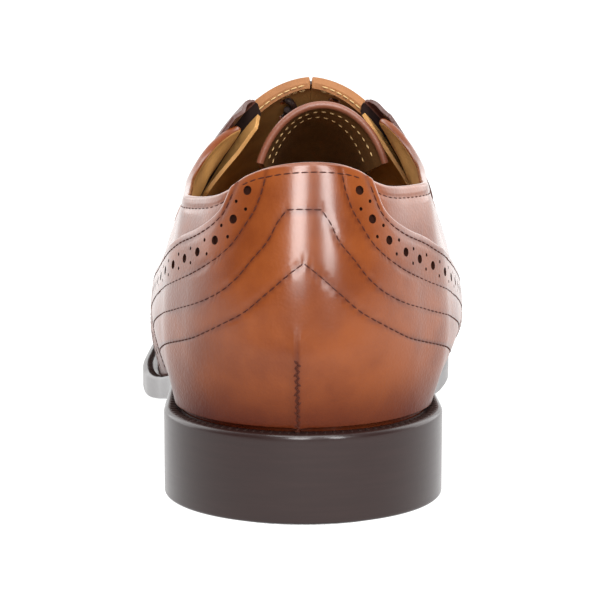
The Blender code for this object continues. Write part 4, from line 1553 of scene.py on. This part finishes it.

# Studio
# The shoe stands on a white floor in front of a white wall, with dimmer walls behind the camera and a
# painted shadow
# behind the heel: a dim strip in the floor's glow. Two tall softboxes there make the upright highlights on
# the counter.
FLOOR_HALF = 12.0
FLOOR_GREY = (0.15, 0.15, 0.15, 1)
FLOOR_GLOW = (1.05, 1.05, 1.05, 1)
FLOOR_PAINTED_SHADOW = (0.05, 0.05, 0.05, 1)
STRIP_END = (-0.38, -0.3)
STRIP_SIDE_SQUARED = (0.1, 0.6)
floor_shape = bmesh.new()
bmesh.ops.create_grid(floor_shape, x_segments=1, y_segments=1, size=FLOOR_HALF)
floor_mesh = bpy.data.meshes.new("floor")
floor_shape.to_mesh(floor_mesh)
floor_shape.free()
floor_finish = Finish(
    "studio_floor", Base_Color=FLOOR_GREY, Roughness=0.8, Specular_IOR_Level=0.1, Emission_Strength=1.0
)
along_floor = floor_finish.axis(floor_finish.place, "Y")
across_floor = floor_finish.axis(floor_finish.place, "X")
# Painted shadow: the floor's glow is dimmed in a strip behind the heel
behind_heel = 1.0 - floor_finish.ramp(along_floor, *STRIP_END)
in_strip = 1.0 - floor_finish.ramp(across_floor * across_floor, *STRIP_SIDE_SQUARED)
floor_finish.set("Emission Color", floor_finish.mix(behind_heel * in_strip, FLOOR_GLOW, FLOOR_PAINTED_SHADOW))
floor_mesh.materials.append(floor_finish.material)
floor = put("floor", floor_mesh)
floor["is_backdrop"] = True

WALL_WHITE = (1.0, 1.0, 1.0, 1)
WALL_BRIGHT = (1.5, 1.5, 1.5, 1)
WALL_DIM = (0.07, 0.07, 0.07, 1)
WALL_TURN = (-0.45, 0.35)
world_light = bpy.data.worlds.new("studio")
world_light.use_nodes = True
studio = Nodes(world_light.node_tree, "Background")
ahead = studio.axis(studio.node("ShaderNodeTexCoord", output="Generated"), "Y")
walls = studio.mix(studio.ramp(ahead, *WALL_TURN), WALL_DIM, WALL_BRIGHT)
seen = studio.node("ShaderNodeLightPath", output="Is Camera Ray")
studio.set("Color", studio.mix(seen, walls, WALL_WHITE))
bpy.context.scene.world = world_light

SoftboxRow = namedtuple("SoftboxRow", "name azimuth elevation distance width height watts")
SOFTBOXES = [
    SoftboxRow("strip_left", -4.0, 28.0, 1.3, 0.34, 1.0, 17.0),
    SoftboxRow("strip_right", 28.0, 28.0, 1.3, 0.26, 1.0, 13.0),
    SoftboxRow("overhead", 0.0, 70.0, 1.3, 0.9, 0.6, 11.0),
    SoftboxRow("side_left", -125.0, 25.0, 1.2, 1.0, 1.0, 6.0),
    SoftboxRow("side_right", 125.0, 25.0, 1.2, 1.0, 1.0, 6.0),
]
HEEL_AIM = world((0.0, 0.0, 60.0))
for row in SOFTBOXES:
    azimuth = math.radians(row.azimuth)
    elevation = math.radians(row.elevation)
    level = math.cos(elevation)
    direction = Vector((math.sin(azimuth) * level, -math.cos(azimuth) * level, math.sin(elevation)))
    lamp = bpy.data.lights.new(row.name, "AREA")
    lamp.shape = "RECTANGLE"
    lamp.size = row.width
    lamp.size_y = row.height
    lamp.energy = row.watts
    softbox = put(row.name, lamp)
    softbox.location = HEEL_AIM + direction * row.distance
    softbox.rotation_euler = (-direction).to_track_quat("-Z", "Y").to_euler()

# The camera stands a little above and straight behind the heel, as in the photograph
CAMERA_PLACE = (-9.07, -519.9, 140.0)
CAMERA_YAW = math.radians(-1.0)
CAMERA_AIM = (-0.0026, 1.0, -0.162)
CAMERA_LENS = 131.5
eye = bpy.data.cameras.new("camera")
eye.lens = CAMERA_LENS
camera = put("camera", eye)
camera.location = world(CAMERA_PLACE)
camera_aim = Matrix.Rotation(CAMERA_YAW, 3, "Z") @ Vector(CAMERA_AIM)
camera.rotation_euler = camera_aim.to_track_quat("-Z", "Y").to_euler()
bpy.context.scene.camera = camera
bpy.context.scene.view_settings.view_transform = "Standard"

low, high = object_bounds()
